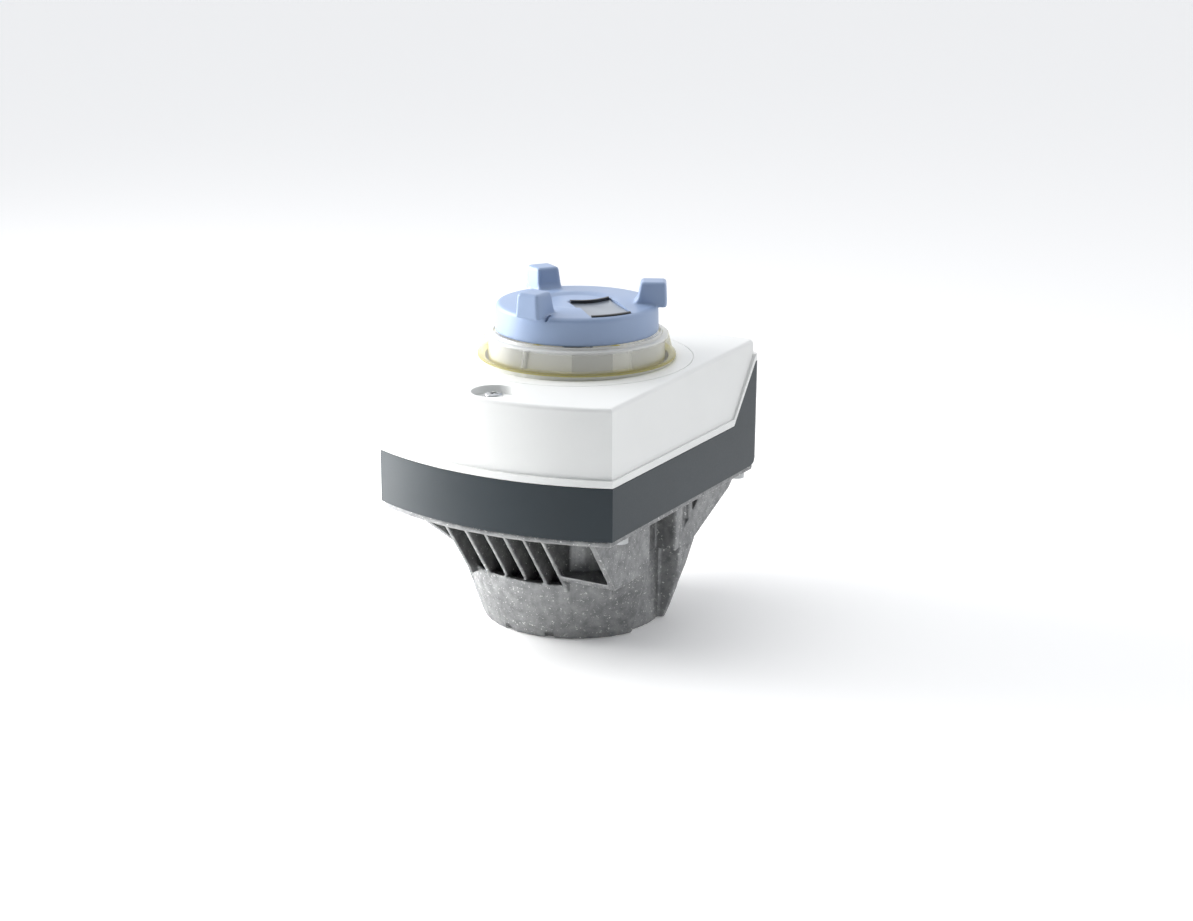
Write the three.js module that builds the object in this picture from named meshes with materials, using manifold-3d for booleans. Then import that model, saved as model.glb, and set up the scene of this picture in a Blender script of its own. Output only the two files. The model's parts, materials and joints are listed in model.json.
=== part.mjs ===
// A motor-driven quarter-turn actuator head for ball and butterfly valves.
// Millimetres, +Z up. The origin is on the drive axis, at the face that meets the valve's flange.
// The front of the housing, with the cover screw, faces -Y; the cable entries face +Y.
import * as THREE from 'three';
import { mergeVertices } from 'three/addons/utils/BufferGeometryUtils.js';
import Module from 'manifold-3d';

const wasm = await Module();
wasm.setup();

// ---------------------------------------------------------------- driving dimensions

// Housing, seen from above: straight sides, square front corners and a bowed front.
const bodyWidth = 124;
const frontCornerY = -75.5;
const rearY = 74.3;
const frontBow = 13.3;
const rearCornerRadius = 5;

// Heights. The base stands on the casting's top plate.
const baseBottomZ = 65;
const baseHeight = 24.7;
const coverHeight = 37.3;
const coverTopSlope = 0.018;
const plateThickness = 3;

// Rear rise of the base, which carries the cable entries.
const riseTopDepth = 5.6;
const riseRun = 22.6;
const riseHeight = 27.9;
const baseRearEdgeRadius = 9;

// Walls, running gaps and the gap between pieces that touch.
const wall = 3.6;
const seamGap = 0.3;
const turningGap = 0.4;
const bushGap = 0.05;
const touchGap = 0.1;
const plateInset = 1.2;

// Cover, its lip over the seam, and the screw that holds it at the front.
const lipHeight = 3.6;
const lipStep = 0.35;
const coverDraft = 1.4;
const coverEdgeRadius = 2;
const screwX = -1;
const screwInset = 2.5;
const pocketRadius = 10.5;
const pocketDepth = 3.6;
const coverScrewRadius = 2;
const coverScrewHeadRadius = 4.2;
const coverScrewHeadHeight = 2.6;

// Cable entries in the rear face: large, small, large.
const entryRadius = 10.2;
const smallEntryRadius = 8.2;
const entryPitch = 34;
const entryLift = 4;

// Corner screws that hold the base to the casting.
const cornerScrewRadius = 2;
const cornerScrewInsetX = 5.5;
const cornerScrewInsetFront = 17.5;
const cornerScrewInsetRear = 12.3;

// Casting: a drum that widens upwards, with side walls that flare out to the top plate.
const drumFootRadius = 45;
const drumTopRadius = 53;
const drumStraightZ = 40;
const drumWall = 4.5;
const slotFloorZ = 29.5;
const flareFootY = -50.4;
const flareTopInset = 0.9;
const finCount = 6;
const finPitch = 10.5;
const firstFinX = -29.5;
const finThickness = 1.8;
const rightWallInset = 10;
const leftWallInset = 20;
const sideWallThickness = 3;
const sideLedgeZ = 36.7;
const shoulderStep = 1.2;
const recessRadius = 42.3;

// Bearing flange, pressed into the drum's foot: spigot recess, bolt circle and hub.
const bearingFlangeRadius = 40.6;
const flangeThickness = 16;
const flangeBoltCircle = 70;
const flangeBoltRadius = 4.25;
const spigotRadius = 27.5;
const spigotDepth = 3;
const hubWall = 5;

// Output shaft and its gear.
const shaftRadius = 12;
const bushWall = 3;
const squareSocket = 14;
const squareSocketDepth = 22;
const gearModule = 1.5;
const outputTeeth = 48;
const outputFace = 6;
const outputGearLift = 4.8;

// Gear train: teeth, faces and the directions of the axes from one another.
const stage1PinionTeeth = 10;
const stage1WheelTeeth = 30;
const stage2PinionTeeth = 8;
const stage2WheelTeeth = 24;
const motorPinionTeeth = 8;
const handTeeth = 28;
const sensorTeeth = 16;
const stage1Direction = -135;
const stage2Direction = -40;
const motorDirection = 0;
const sensorDirection = 75;
const wheelFace = 3.4;
const stage2WheelFace = 3;
const pinRadius = 2.5;
const gearPlateThickness = 2;

// Motor.
const motorRadius = 18;
const motorHeight = 15.5;
const motorShaftRadius = 1.5;
const motorEarRadius = 21;

// Position drum on its three legs, and the clear window ring round it.
const drumClearance = 6.3;
const drumThickness = 1.6;
const drumSinking = 2.2;
const legCircle = 26;
const legRadius = 2;
const legAngles = [264, 360, 456];
const legTravel = 90;
const legSpare = 12;
const ringFootRadius = 47.3;
const ringTaper = 3.6;
const ringHeight = 12;
const ringLip = 3.5;
const ringThickness = 2;

// Hand knob, with its press stroke.
const knobStroke = 3;
const knobLift = 1.4;
const knobRadius = 38.9;
const knobHeight = 13.1;
const knobCrown = 1.1;
const knobEdgeRadius = 2.2;
const knobDraft = 0.5;
const knobSkirt = 3;
const knobDishRadius = 19;
const knobDishDepth = 1.2;
const knobShaftRadius = 4;
const slideRadius = 6;
const springRadius = 7.4;
const springWire = 0.6;
const springLength = 21;
const clutchRadius = 6.4;
const clutchHeight = 3;

// Three lobes that overhang the knob's rim. They narrow upwards and lean outwards from the centre.
const lobeCount = 3;
const lobeFirstAngle = 27;
const lobeHeight = 10.8;
const lobeUnderside = 1.2;
const lobeOuterRadius = 42.7;
const lobeTopInnerRadius = 30.2;
const lobeRootRadius = 27.5;
const lobeWidth = 13.2;
const lobeTopWidth = 11.4;

// Window let into the knob's top, beside its centre.
const windowDirection = -42.5;
const windowLow = -4.4;
const windowHigh = 16.6;
const windowInner = 0.5;
const windowInnerBow = 3.4;
const windowOuter = 36.3;
const windowDepth = 1.3;

// ---------------------------------------------------------------- values that follow

const halfWidth = bodyWidth / 2;
const baseTopZ = baseBottomZ + baseHeight;
const coverTopZ = baseTopZ + coverHeight;
const riseTopZ = baseTopZ + riseHeight;
const riseTopY = rearY - riseTopDepth;
const riseFootY = riseTopY - riseRun;
const plateBottomZ = baseBottomZ - plateThickness;
const baseFloorZ = baseBottomZ + wall;
const lowerPlateZ = baseFloorZ + 0.5;
const outputGearZ = baseFloorZ + outputGearLift;
const screwY = frontCornerY + screwInset;
const flareTopY = frontCornerY + flareTopInset;
const flareSlope = (flareTopY - flareFootY) / (plateBottomZ - slotFloorZ);
const rightWallX = halfWidth - rightWallInset;
const leftWallX = leftWallInset - halfWidth;
const bushOuterRadius = shaftRadius + bushWall;
const hubRadius = bushOuterRadius + hubWall;
const drumRadius = ringFootRadius - drumClearance;
const ringTopRadius = ringFootRadius - ringTaper;
const ringLipRadius = ringTopRadius - ringLip;
const ringTopZ = coverTopZ + ringHeight;
const drumTopZ = ringTopZ - drumSinking;
const knobFootZ = ringTopZ + knobLift;
const knobEdgeZ = knobFootZ + knobHeight;
const knobCrownZ = knobEdgeZ + knobCrown;
const lobeTopZ = knobEdgeZ + lobeHeight;
const lobeUndersideZ = knobEdgeZ - lobeUnderside;
const far = 400;

// Steps round a full turn, for large, middling and small round pieces.
const largeSteps = 42;
const middleSteps = 18;
const smallSteps = 8;

const rad = THREE.MathUtils.degToRad;

function polar(radius, degrees) {
  return new THREE.Vector2(radius * Math.cos(rad(degrees)), radius * Math.sin(rad(degrees)));
}

// ---------------------------------------------------------------- solids

// A closed geometry as a solid that can be joined and cut.
function solid(geometry) {
  const bare = geometry.clone();
  bare.deleteAttribute('normal');
  bare.deleteAttribute('uv');
  const merged = mergeVertices(bare, 1e-4);
  const corners = merged.index.array;
  const kept = [];
  for (let i = 0; i < corners.length; i += 3) {
    const [a, b, c] = corners.slice(i, i + 3);
    if (a !== b && b !== c && c !== a) kept.push(a, b, c);
  }
  return new wasm.Manifold(
    new wasm.Mesh({
      numProp: 3,
      vertProperties: merged.attributes.position.array,
      triVerts: new Uint32Array(kept),
    })
  );
}

// A solid back as a geometry that a mesh can hold.
function geometryOf(body) {
  const mesh = body.getMesh();
  const geometry = new THREE.BufferGeometry();
  geometry.setAttribute('position', new THREE.BufferAttribute(new Float32Array(mesh.vertProperties), 3));
  geometry.setIndex(new THREE.BufferAttribute(new Uint32Array(mesh.triVerts), 1));
  const flat = geometry.toNonIndexed();
  flat.computeVertexNormals();
  return flat;
}

// An outline pushed up from z0 to z1.
function prismGeometry(shape, z0, z1, curveSegments = 12) {
  const options = { depth: z1 - z0, bevelEnabled: false, curveSegments };
  return new THREE.ExtrudeGeometry(shape, options).translate(0, 0, z0);
}

function prism(shape, z0, z1, curveSegments) {
  return solid(prismGeometry(shape, z0, z1, curveSegments));
}

// A side outline, drawn as (y, z), pushed across from x0 to x1.
function sidePrism(points, x0, x1) {
  const shape = new THREE.Shape(points.map(([y, z]) => new THREE.Vector2(y, z)));
  const geometry = new THREE.ExtrudeGeometry(shape, { depth: x1 - x0, bevelEnabled: false });
  const across = new THREE.Matrix4().makeBasis(
    new THREE.Vector3(0, 1, 0),
    new THREE.Vector3(0, 0, 1),
    new THREE.Vector3(1, 0, 0)
  );
  return solid(geometry.applyMatrix4(across).translate(x0, 0, 0));
}

function block(x0, x1, y0, y1, z0, z1) {
  const geometry = new THREE.BoxGeometry(x1 - x0, y1 - y0, z1 - z0);
  return solid(geometry.translate((x0 + x1) / 2, (y0 + y1) / 2, (z0 + z1) / 2));
}

// A solid of revolution about the drive axis, from (radius, z) points listed anticlockwise.
function turned(points, segments = middleSteps) {
  const profile = points.map(([r, z]) => new THREE.Vector2(r, z));
  profile.push(profile[0].clone());
  return solid(new THREE.LatheGeometry(profile, segments).rotateX(Math.PI / 2));
}

function disc(radius, z0, z1, segments = middleSteps, x = 0, y = 0) {
  const geometry = new THREE.CylinderGeometry(radius, radius, z1 - z0, segments);
  return solid(geometry.rotateX(Math.PI / 2).translate(x, y, (z0 + z1) / 2));
}

function discAt(centre, radius, z0, z1, segments = middleSteps) {
  return disc(radius, z0, z1, segments, centre.x, centre.y);
}

function tube(outer, inner, z0, z1, segments = middleSteps) {
  return disc(outer, z0, z1, segments).subtract(disc(inner, z0 - 1, z1 + 1, segments));
}

// The radius of a many-sided bore whose flats clear a turning pin by the given gap.
function boreFor(radius, gap, segments = middleSteps) {
  return (radius + gap) / Math.cos(Math.PI / segments);
}

// A polygon with its flats at the given distance apart.
function polygonShape(sides, acrossFlats, turnDegrees) {
  const radius = acrossFlats / 2 / Math.cos(Math.PI / sides);
  const points = [];
  for (let i = 0; i < sides; i++) points.push(polar(radius, turnDegrees + (360 * i) / sides));
  return new THREE.Shape(points);
}

// ---------------------------------------------------------------- materials and the scene

function material(color, roughness, metalness) {
  return new THREE.MeshStandardMaterial({ color, roughness, metalness });
}

const castAluminium = material(0xb9babb, 0.55, 1);
const darkPlastic = material(0x36474d, 0.4, 0);
const palePlastic = material(0xeef0ee, 0.45, 0);
const bluePlastic = material(0x7d94bb, 0.5, 0);
const silverFoil = material(0xb4bcc4, 0.35, 0.6);
const drumPlastic = material(0xf0f0ec, 0.5, 0);
const yellowPlastic = material(0xd8cf4a, 0.5, 0);
const clearPlastic = material(0xe6ebe8, 0.08, 0);
clearPlastic.transparent = true;
clearPlastic.opacity = 0.35;
const steel = material(0xb5b8ba, 0.35, 1);
const bronze = material(0xb08d57, 0.4, 1);
const rubber = material(0x1f2122, 0.8, 0);
const paleSilicone = material(0xdcdcd6, 0.6, 0);
const gearPlastic = material(0xe4dfce, 0.5, 0);
const boardGreen = material(0x2d6b45, 0.5, 0);
const blackPlastic = material(0x232527, 0.45, 0);
const motorCase = material(0x8d9499, 0.4, 1);

const actuator = new THREE.Group();

function add(name, body, look) {
  const mesh = new THREE.Mesh(geometryOf(body), look);
  mesh.name = name;
  actuator.add(mesh);
  return body;
}

// ---------------------------------------------------------------- housing outlines

// Corners along an arc about a centre, end points included.
function arc(centreX, centreY, radius, fromDegrees, toDegrees, steps) {
  const corners = [];
  for (let i = 0; i <= steps; i++) {
    const p = polar(radius, fromDegrees + ((toDegrees - fromDegrees) * i) / steps);
    corners.push(new THREE.Vector2(centreX + p.x, centreY + p.y));
  }
  return corners;
}

// The housing from above, set in by `inset` all round.
function bodyOutline(inset) {
  const x = halfWidth - inset;
  const rear = rearY - inset;
  const corner = Math.max(rearCornerRadius - inset, 0.8);
  const bowRadius = bodyWidth ** 2 / (8 * frontBow) + frontBow / 2;
  const bowCentreY = frontCornerY - frontBow + bowRadius;
  const reach = THREE.MathUtils.radToDeg(Math.asin(x / (bowRadius - inset)));
  return new THREE.Shape([
    ...arc(x - corner, rear - corner, corner, 0, 90, 3),
    ...arc(corner - x, rear - corner, corner, 90, 180, 3),
    ...arc(0, bowCentreY, bowRadius - inset, -90 - reach, -90 + reach, 12),
  ]);
}

// The side of the base, raised by `lift` along its whole upper edge.
function baseSide(lift) {
  const arc = [];
  for (let i = 0; i <= 4; i++) {
    const p = polar(baseRearEdgeRadius, -90 + (90 * i) / 4);
    arc.push([rearY - baseRearEdgeRadius + p.x, baseBottomZ + baseRearEdgeRadius + p.y]);
  }
  return [
    [-far, baseBottomZ],
    ...arc,
    [rearY, riseTopZ + lift],
    [riseTopY, riseTopZ + lift],
    [riseFootY, baseTopZ + lift],
    [-far, baseTopZ + lift],
  ];
}

function belowSeam(lift) {
  return sidePrism(
    [
      [-far, -far],
      [far, -far],
      [far, riseTopZ + lift],
      [riseTopY, riseTopZ + lift],
      [riseFootY, baseTopZ + lift],
      [-far, baseTopZ + lift],
    ],
    -far,
    far
  );
}

const gasketDepth = 1.2;
const gasketWidth = 1.2;
const gasketInset = 1.2;

function seamBand(inset, width, low, high) {
  const ring = prism(bodyOutline(inset), baseBottomZ, coverTopZ)
    .subtract(prism(bodyOutline(inset + width), baseBottomZ - 1, coverTopZ + 1));
  return ring.intersect(belowSeam(high)).subtract(belowSeam(low));
}

// ---------------------------------------------------------------- base housing

const screwBossRadius = 4.6;
const screwBossTopZ = baseTopZ + 13.3;
const threadGap = 0.2;
const cornerBossRadius = 4.4;
const cornerBossHeight = 9;
const entryZ = baseTopZ + entryLift;
const entryX = [-entryPitch, 0, entryPitch];
const entryRadii = [entryRadius, smallEntryRadius, entryRadius];
const entrySteps = 32;
const hubHoleRadius = hubRadius + turningGap;

// The four corner screws, seen from above.
const cornerX = halfWidth - cornerScrewInsetX;
const casingCorners = [];
for (const x of [-cornerX, cornerX]) {
  for (const y of [frontCornerY + cornerScrewInsetFront, rearY - cornerScrewInsetRear]) {
    casingCorners.push(new THREE.Vector2(x, y));
  }
}

function crossHole(radius, x) {
  const geometry = new THREE.CylinderGeometry(radius, radius, 4 * wall, entrySteps);
  return solid(geometry.translate(x, rearY, entryZ));
}

let base = prism(bodyOutline(0), baseBottomZ, riseTopZ).intersect(sidePrism(baseSide(0), -far, far));
base = base.subtract(prism(bodyOutline(wall), baseFloorZ, far));
base = base.subtract(seamBand(gasketInset, gasketWidth + 2 * threadGap, -gasketDepth, 5));
const screwPlace = new THREE.Vector2(screwX, screwY);
const insideFront = prism(bodyOutline(wall - 0.5), baseBottomZ, riseTopZ);
base = base.add(discAt(screwPlace, screwBossRadius, baseFloorZ - 1, screwBossTopZ).intersect(insideFront));
const threadFootZ = baseFloorZ + 10;
base = base.subtract(
  discAt(screwPlace, coverScrewRadius + threadGap, threadFootZ, screwBossTopZ + 1, smallSteps));
for (const place of casingCorners) {
  const bossTopZ = baseFloorZ + cornerBossHeight;
  base = base.add(discAt(place, cornerBossRadius, baseFloorZ - 1, bossTopZ));
  base = base.subtract(
    discAt(place, cornerScrewRadius + threadGap, baseBottomZ - 1, bossTopZ - 2, smallSteps));
}
base = base.subtract(disc(hubHoleRadius, baseBottomZ - 1, baseFloorZ + 1, largeSteps));
entryX.forEach((x, i) => {
  base = base.subtract(crossHole(entryRadii[i], x));
});
add('base_housing', base, darkPlastic);

const gasket = seamBand(gasketInset + 0.2, gasketWidth, -gasketDepth + 0.1, 0.1);
add('cover_gasket', gasket, rubber);

// ---------------------------------------------------------------- mounting casting

function flareY(z) {
  return flareFootY + flareSlope * (z - slotFloorZ);
}

// The drum widens on a parabola up to the height where its side is straight.
function drumRadiusAt(z) {
  const below = Math.max(0, 1 - z / drumStraightZ);
  return drumFootRadius + (drumTopRadius - drumFootRadius) * (1 - below * below);
}

const aboveWall = plateBottomZ + 0.5;
const drumHeights = [0, 10, 20, slotFloorZ, drumStraightZ, aboveWall];
const drumOutside = drumHeights.map((z) => [drumRadiusAt(z), z]);
const drumInside = [aboveWall, drumStraightZ, slotFloorZ, 20, flangeThickness]
  .map((z) => [drumRadiusAt(z) - drumWall, z]);
const pressBore = bearingFlangeRadius + seamGap;
let casting = turned(
  [[pressBore, 0], ...drumOutside, ...drumInside, [pressBore, flangeThickness]], largeSteps);

// A wedge of the space round the drive axis.
function sector(fromDegrees, toDegrees, z0, z1) {
  const shape = new THREE.Shape();
  shape.moveTo(0, 0);
  const reach = 2 * bodyWidth;
  for (let i = 0; i <= 6; i++) {
    const p = polar(reach, fromDegrees + ((toDegrees - fromDegrees) * i) / 6);
    shape.lineTo(p.x, p.y);
  }
  return prism(shape, z0, z1);
}

// Side shoulders that flare out from the drum's foot and carry the side walls.
const shoulderReach = drumFootRadius + 15;
const shoulderInner = drumTopRadius - 7;
const shoulderProfile = [
  [pressBore, 0],
  [drumFootRadius, 0],
  [shoulderReach - 2, sideLedgeZ],
  [shoulderReach, sideLedgeZ + 4],
  [shoulderReach, aboveWall],
  [shoulderInner, aboveWall],
  [shoulderInner, slotFloorZ],
];
const shoulder = turned(shoulderProfile, largeSteps);
const insideRightWall = block(0, rightWallX - shoulderStep, -far, far, -1, aboveWall);
const insideLeftWall = block(leftWallX + shoulderStep, 0, -far, far, -1, aboveWall);
const shoulderSectors = [
  [-41, -24, insideRightWall],
  [12, 60, insideRightWall],
  [120, 222, insideLeftWall],
];
for (const [from, to, side] of shoulderSectors) {
  casting = casting.add(shoulder.intersect(sector(from, to, -1, sideLedgeZ)).intersect(side));
}

// Side walls: the right one is in two pieces, either side of the recess.
function sideWall(points, outerX) {
  const inward = Math.sign(outerX) * -sideWallThickness;
  return sidePrism(points, Math.min(outerX, outerX + inward), Math.max(outerX, outerX + inward));
}

const wallRearY = rearY - plateInset - 0.1;
const wallHeelY = wallRearY - 10;
const wallHeelZ = plateBottomZ - 9;
const wallFootZ = slotFloorZ - 5.5;
const recessEdgeY = -20.5;
const rightFrontWall = [
  [flareY(aboveWall), aboveWall],
  [flareY(sideLedgeZ), sideLedgeZ],
  [recessEdgeY, sideLedgeZ],
  [recessEdgeY, aboveWall],
];
const rightRearWall = [
  [32, aboveWall],
  [28, wallHeelZ + 2],
  [3, sideLedgeZ],
  [21, sideLedgeZ - 1.2],
  [wallHeelY, wallHeelZ],
  [wallRearY, plateBottomZ - 1],
  [wallRearY, aboveWall],
];
const leftWall = [
  [flareY(aboveWall), aboveWall],
  [flareY(wallHeelZ + 2) + 2, wallHeelZ + 2],
  [-41, sideLedgeZ],
  [-27.5, wallFootZ],
  [20, wallFootZ],
  [wallHeelY, wallHeelZ],
  [wallRearY, plateBottomZ - 1],
  [wallRearY, aboveWall],
];
casting = casting.add(sideWall(rightFrontWall, rightWallX));
casting = casting.add(sideWall(rightRearWall, rightWallX));
casting = casting.add(sideWall(leftWall, leftWallX));

// The ledge that joins the front right wall to the drum.
const lastFinX = firstFinX + finPitch * (finCount - 1);
const ledgeFootZ = sideLedgeZ - sideWallThickness;
const flareFront = [
  [flareY(aboveWall), aboveWall],
  [flareY(ledgeFootZ), ledgeFootZ],
  [0, ledgeFootZ],
  [0, aboveWall],
];
const ledge = block(lastFinX, rightWallX - 0.01, -far, recessEdgeY, ledgeFootZ, sideLedgeZ)
  .intersect(sidePrism(flareFront, 0, far))
  .subtract(disc(drumTopRadius - drumWall / 2, 0, far, largeSteps));
casting = casting.add(ledge);

// Open cooling slots: the drum's front is cut away above the slot floor and fins cross the gap.
const finRootY = -26;
casting = casting.subtract(
  block(firstFinX, lastFinX, -far, finRootY + 2, slotFloorZ, aboveWall + 1));
const finSide = [
  [flareY(aboveWall), aboveWall],
  [flareY(slotFloorZ), slotFloorZ],
  [flareFootY + 1.2, slotFloorZ - 3],
  [finRootY - 16, slotFloorZ - 3],
  [finRootY, slotFloorZ + 8],
  [finRootY, aboveWall],
];
for (let i = 0; i < finCount; i++) {
  const x = firstFinX + finPitch * i;
  casting = casting.add(sidePrism(finSide, x - finThickness / 2, x + finThickness / 2));
}

// Rear stiffening ribs.
const ribRootY = drumTopRadius - drumWall / 2;
const rearRib = [
  [ribRootY, sideLedgeZ],
  [wallRearY - 4, aboveWall],
  [ribRootY - 1, aboveWall],
];
for (const x of [-24, -8, 8, 24]) {
  casting = casting.add(sidePrism(rearRib, x - finThickness / 2, x + finThickness / 2));
}

// Web between the drum and the rear right wall.
const webFrontY = 19;
const webThicknessY = 4;
casting = casting.add(
  block(0, rightWallX - 0.01, webFrontY, webFrontY + webThicknessY, ledgeFootZ, aboveWall)
    .subtract(disc(drumTopRadius - drumWall / 2, 0, far, largeSteps)));

// Recess down the right side of the drum, with its own back wall and cheeks.
const recessBack = recessRadius - drumWall;
const recessFootZ = flangeThickness + seamGap;
const thickDrumOutside = [recessFootZ, slotFloorZ, drumStraightZ, aboveWall]
  .map((z) => [drumRadiusAt(z) - 0.5, z]);
const thickDrum = turned(
  [[recessBack, recessFootZ], ...thickDrumOutside, [recessBack, aboveWall]], largeSteps);
casting = casting.add(thickDrum.intersect(sector(-26, 14, 0, aboveWall)));
casting = casting.subtract(
  tube(2 * drumFootRadius, recessRadius, -1, sideLedgeZ, largeSteps)
    .intersect(sector(-23, 11, -2, sideLedgeZ + 1)));
casting = casting.subtract(
  tube(2 * drumFootRadius, recessRadius, sideLedgeZ + 0.01, plateBottomZ, largeSteps)
    .intersect(sector(-20, 4, sideLedgeZ - 1, plateBottomZ)));

// Top plate under the base, screw holes and two small notches in the foot's rim.
casting = casting.add(prism(bodyOutline(plateInset), plateBottomZ, baseBottomZ - 0.2)
  .subtract(disc(hubRadius + seamGap, plateBottomZ - 1, baseBottomZ + 1, largeSteps)));
for (const place of casingCorners) {
  casting = casting.subtract(
    discAt(place, cornerScrewRadius + threadGap, plateBottomZ - 1, baseBottomZ + 1, smallSteps));
}
const notchRadius = 2.2;
for (const degrees of [-105, -76]) {
  casting = casting.subtract(discAt(polar(drumFootRadius, degrees), notchRadius, -1, 3, smallSteps));
}
add('mounting_casting', casting, castAluminium);

// ---------------------------------------------------------------- bearing flange

// Pressed into the drum's foot. Its hub holds the shaft's bushes and rises into the base's floor.
const hubTopZ = baseFloorZ - 0.4;
let flange = disc(bearingFlangeRadius, 0, flangeThickness, largeSteps)
  .add(disc(hubRadius, flangeThickness - 1, hubTopZ, largeSteps))
  .subtract(disc(bushOuterRadius + bushGap, -1, hubTopZ + 1))
  .subtract(disc(spigotRadius, -1, spigotDepth, largeSteps));
for (let i = 0; i < 4; i++) {
  const place = polar(flangeBoltCircle / 2, 45 + 90 * i);
  flange = flange.subtract(discAt(place, flangeBoltRadius, -1, flangeThickness + 1));
}
add('bearing_flange', flange, castAluminium);

const cornerHeadRadius = 3.6;
const cornerHeadHeight = 2.6;
casingCorners.forEach((place, i) => {
  const { x, y } = place;
  const headFootZ = plateBottomZ - cornerHeadHeight;
  const head = discAt(place, cornerHeadRadius, headFootZ, plateBottomZ);
  const shank = discAt(place, cornerScrewRadius, plateBottomZ - 1, baseFloorZ + 6, smallSteps);
  const slot = block(x - 3, x + 3, y - 0.4, y + 0.4, headFootZ - 1, headFootZ + 1.2);
  add(`casting_screw_${i + 1}`, head.add(shank).subtract(slot), steel);
});

// ---------------------------------------------------------------- output shaft and bushes

const lowerBushZ = 6;
const bushLength = 14;
const upperBushZ = hubTopZ - bushLength - 6;
const stubRadius = 6;
const shaftBottomZ = 2;
const shaftTopZ = outputGearZ + outputFace + 1.5;
const stubTopZ = shaftTopZ + 1.6;
const pilotDepth = 16;

let shaft = disc(shaftRadius, shaftBottomZ, shaftTopZ)
  .add(disc(stubRadius, shaftTopZ - 1, stubTopZ))
  .subtract(
    prism(polygonShape(4, squareSocket, 45), shaftBottomZ - 1, shaftBottomZ + squareSocketDepth))
  .subtract(disc(boreFor(knobShaftRadius, touchGap), stubTopZ - pilotDepth, stubTopZ + 1));
const clipZ = baseFloorZ + 3.2;
const clipThickness = 1.2;
shaft = shaft.subtract(tube(shaftRadius + 1, shaftRadius - 1, clipZ, clipZ + clipThickness));
add('output_shaft', shaft, steel);

for (const [name, z] of [['lower_bearing_bush', lowerBushZ], ['upper_bearing_bush', upperBushZ]]) {
  const bush = tube(bushOuterRadius, boreFor(shaftRadius, bushGap), z, z + bushLength);
  add(name, bush, bronze);
}

const clipOpening = sector(-25, 25, clipZ - 1, clipZ + 3);
const clipFootZ = clipZ + touchGap;
const clipTopZ = clipZ + clipThickness - touchGap;
const shaftClip = tube(shaftRadius + 2.5, shaftRadius - 0.9, clipFootZ, clipTopZ);
add('shaft_circlip', shaftClip.subtract(clipOpening), steel);

// ---------------------------------------------------------------- gears

// A spur gear's outline: straight-sided teeth with running backlash. A tooth's root and tip reach
// these shares of the pitch angle either side of its middle.
const rootShare = 0.3;
const tipShare = 0.11;

function gearShape(teeth, phaseDegrees) {
  const pitchRadius = (gearModule * teeth) / 2;
  const tipRadius = pitchRadius + 0.9 * gearModule;
  const rootRadius = pitchRadius - 1.15 * gearModule;
  const pitchAngle = 360 / teeth;
  const points = [];
  for (let i = 0; i < teeth; i++) {
    const middle = phaseDegrees + pitchAngle * i;
    points.push(polar(rootRadius, middle - pitchAngle * rootShare));
    points.push(polar(tipRadius, middle - pitchAngle * tipShare));
    points.push(polar(tipRadius, middle + pitchAngle * tipShare));
    points.push(polar(rootRadius, middle + pitchAngle * rootShare));
  }
  return new THREE.Shape(points);
}

// The phase of a gear that meshes with another one, which lies in the given direction from it.
function meshedPhase(direction, teeth, phase, nextTeeth) {
  const turns = ((direction - phase) * teeth) / 360;
  const fraction = turns - Math.floor(turns);
  return direction + 180 - ((0.5 - fraction) * 360) / nextTeeth;
}

function centreDistance(teeth, nextTeeth) {
  return (gearModule * (teeth + nextTeeth)) / 2;
}

function gearAt(teeth, phase, centre, z0, z1) {
  return solid(prismGeometry(gearShape(teeth, phase), z0, z1).translate(centre.x, centre.y, 0));
}

const axis = new THREE.Vector2(0, 0);
const stage1Centre = polar(centreDistance(outputTeeth, stage1PinionTeeth), stage1Direction);
const stage2Centre = polar(centreDistance(stage1WheelTeeth, stage2PinionTeeth), stage2Direction)
  .add(stage1Centre);
const motorCentre = polar(centreDistance(stage2WheelTeeth, motorPinionTeeth), motorDirection)
  .add(stage2Centre);
const sensorCentre = polar(centreDistance(outputTeeth, sensorTeeth), sensorDirection);

const outputPhase = 0;
const wheelPhase = 0;
const stage1PinionPhase = meshedPhase(stage1Direction, outputTeeth, outputPhase, stage1PinionTeeth);
const handPhase = meshedPhase(stage1Direction + 180, stage1WheelTeeth, wheelPhase, handTeeth);
const stage2PinionPhase = meshedPhase(stage2Direction, stage1WheelTeeth, wheelPhase, stage2PinionTeeth);
const motorPhase = meshedPhase(motorDirection, stage2WheelTeeth, wheelPhase, motorPinionTeeth);
const sensorPhase = meshedPhase(sensorDirection, outputTeeth, outputPhase, sensorTeeth);

const outputGearTopZ = outputGearZ + outputFace;
const wheelZ = outputGearTopZ + 2.6;
const stage2WheelZ = wheelZ + wheelFace + 2.4;
const upperPlateZ = stage2WheelZ + stage2WheelFace + 2.6;

// The output gear is keyed to the shaft by two flats and carries the legs of the drum.
const shaftBore = disc(shaftRadius + touchGap, outputGearZ - 2, outputGearTopZ + 2);
let outputGear = gearAt(outputTeeth, outputPhase, axis, outputGearZ, outputGearTopZ)
  .subtract(shaftBore);
for (const degrees of legAngles) {
  const place = polar(legCircle, degrees);
  const hole = discAt(place, legRadius + touchGap, outputGearZ - 1, outputGearTopZ + 1, smallSteps);
  outputGear = outputGear.subtract(hole);
}
add('output_gear', outputGear, steel);

const pinHole = boreFor(pinRadius, bushGap);
const stage1Gear = gearAt(stage1PinionTeeth, stage1PinionPhase, stage1Centre, outputGearZ, wheelZ + 0.5)
  .add(gearAt(stage1WheelTeeth, wheelPhase, stage1Centre, wheelZ, wheelZ + wheelFace))
  .subtract(discAt(stage1Centre, pinHole, outputGearZ - 1, wheelZ + wheelFace + 1));
add('stage_1_gear', stage1Gear, steel);

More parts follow.
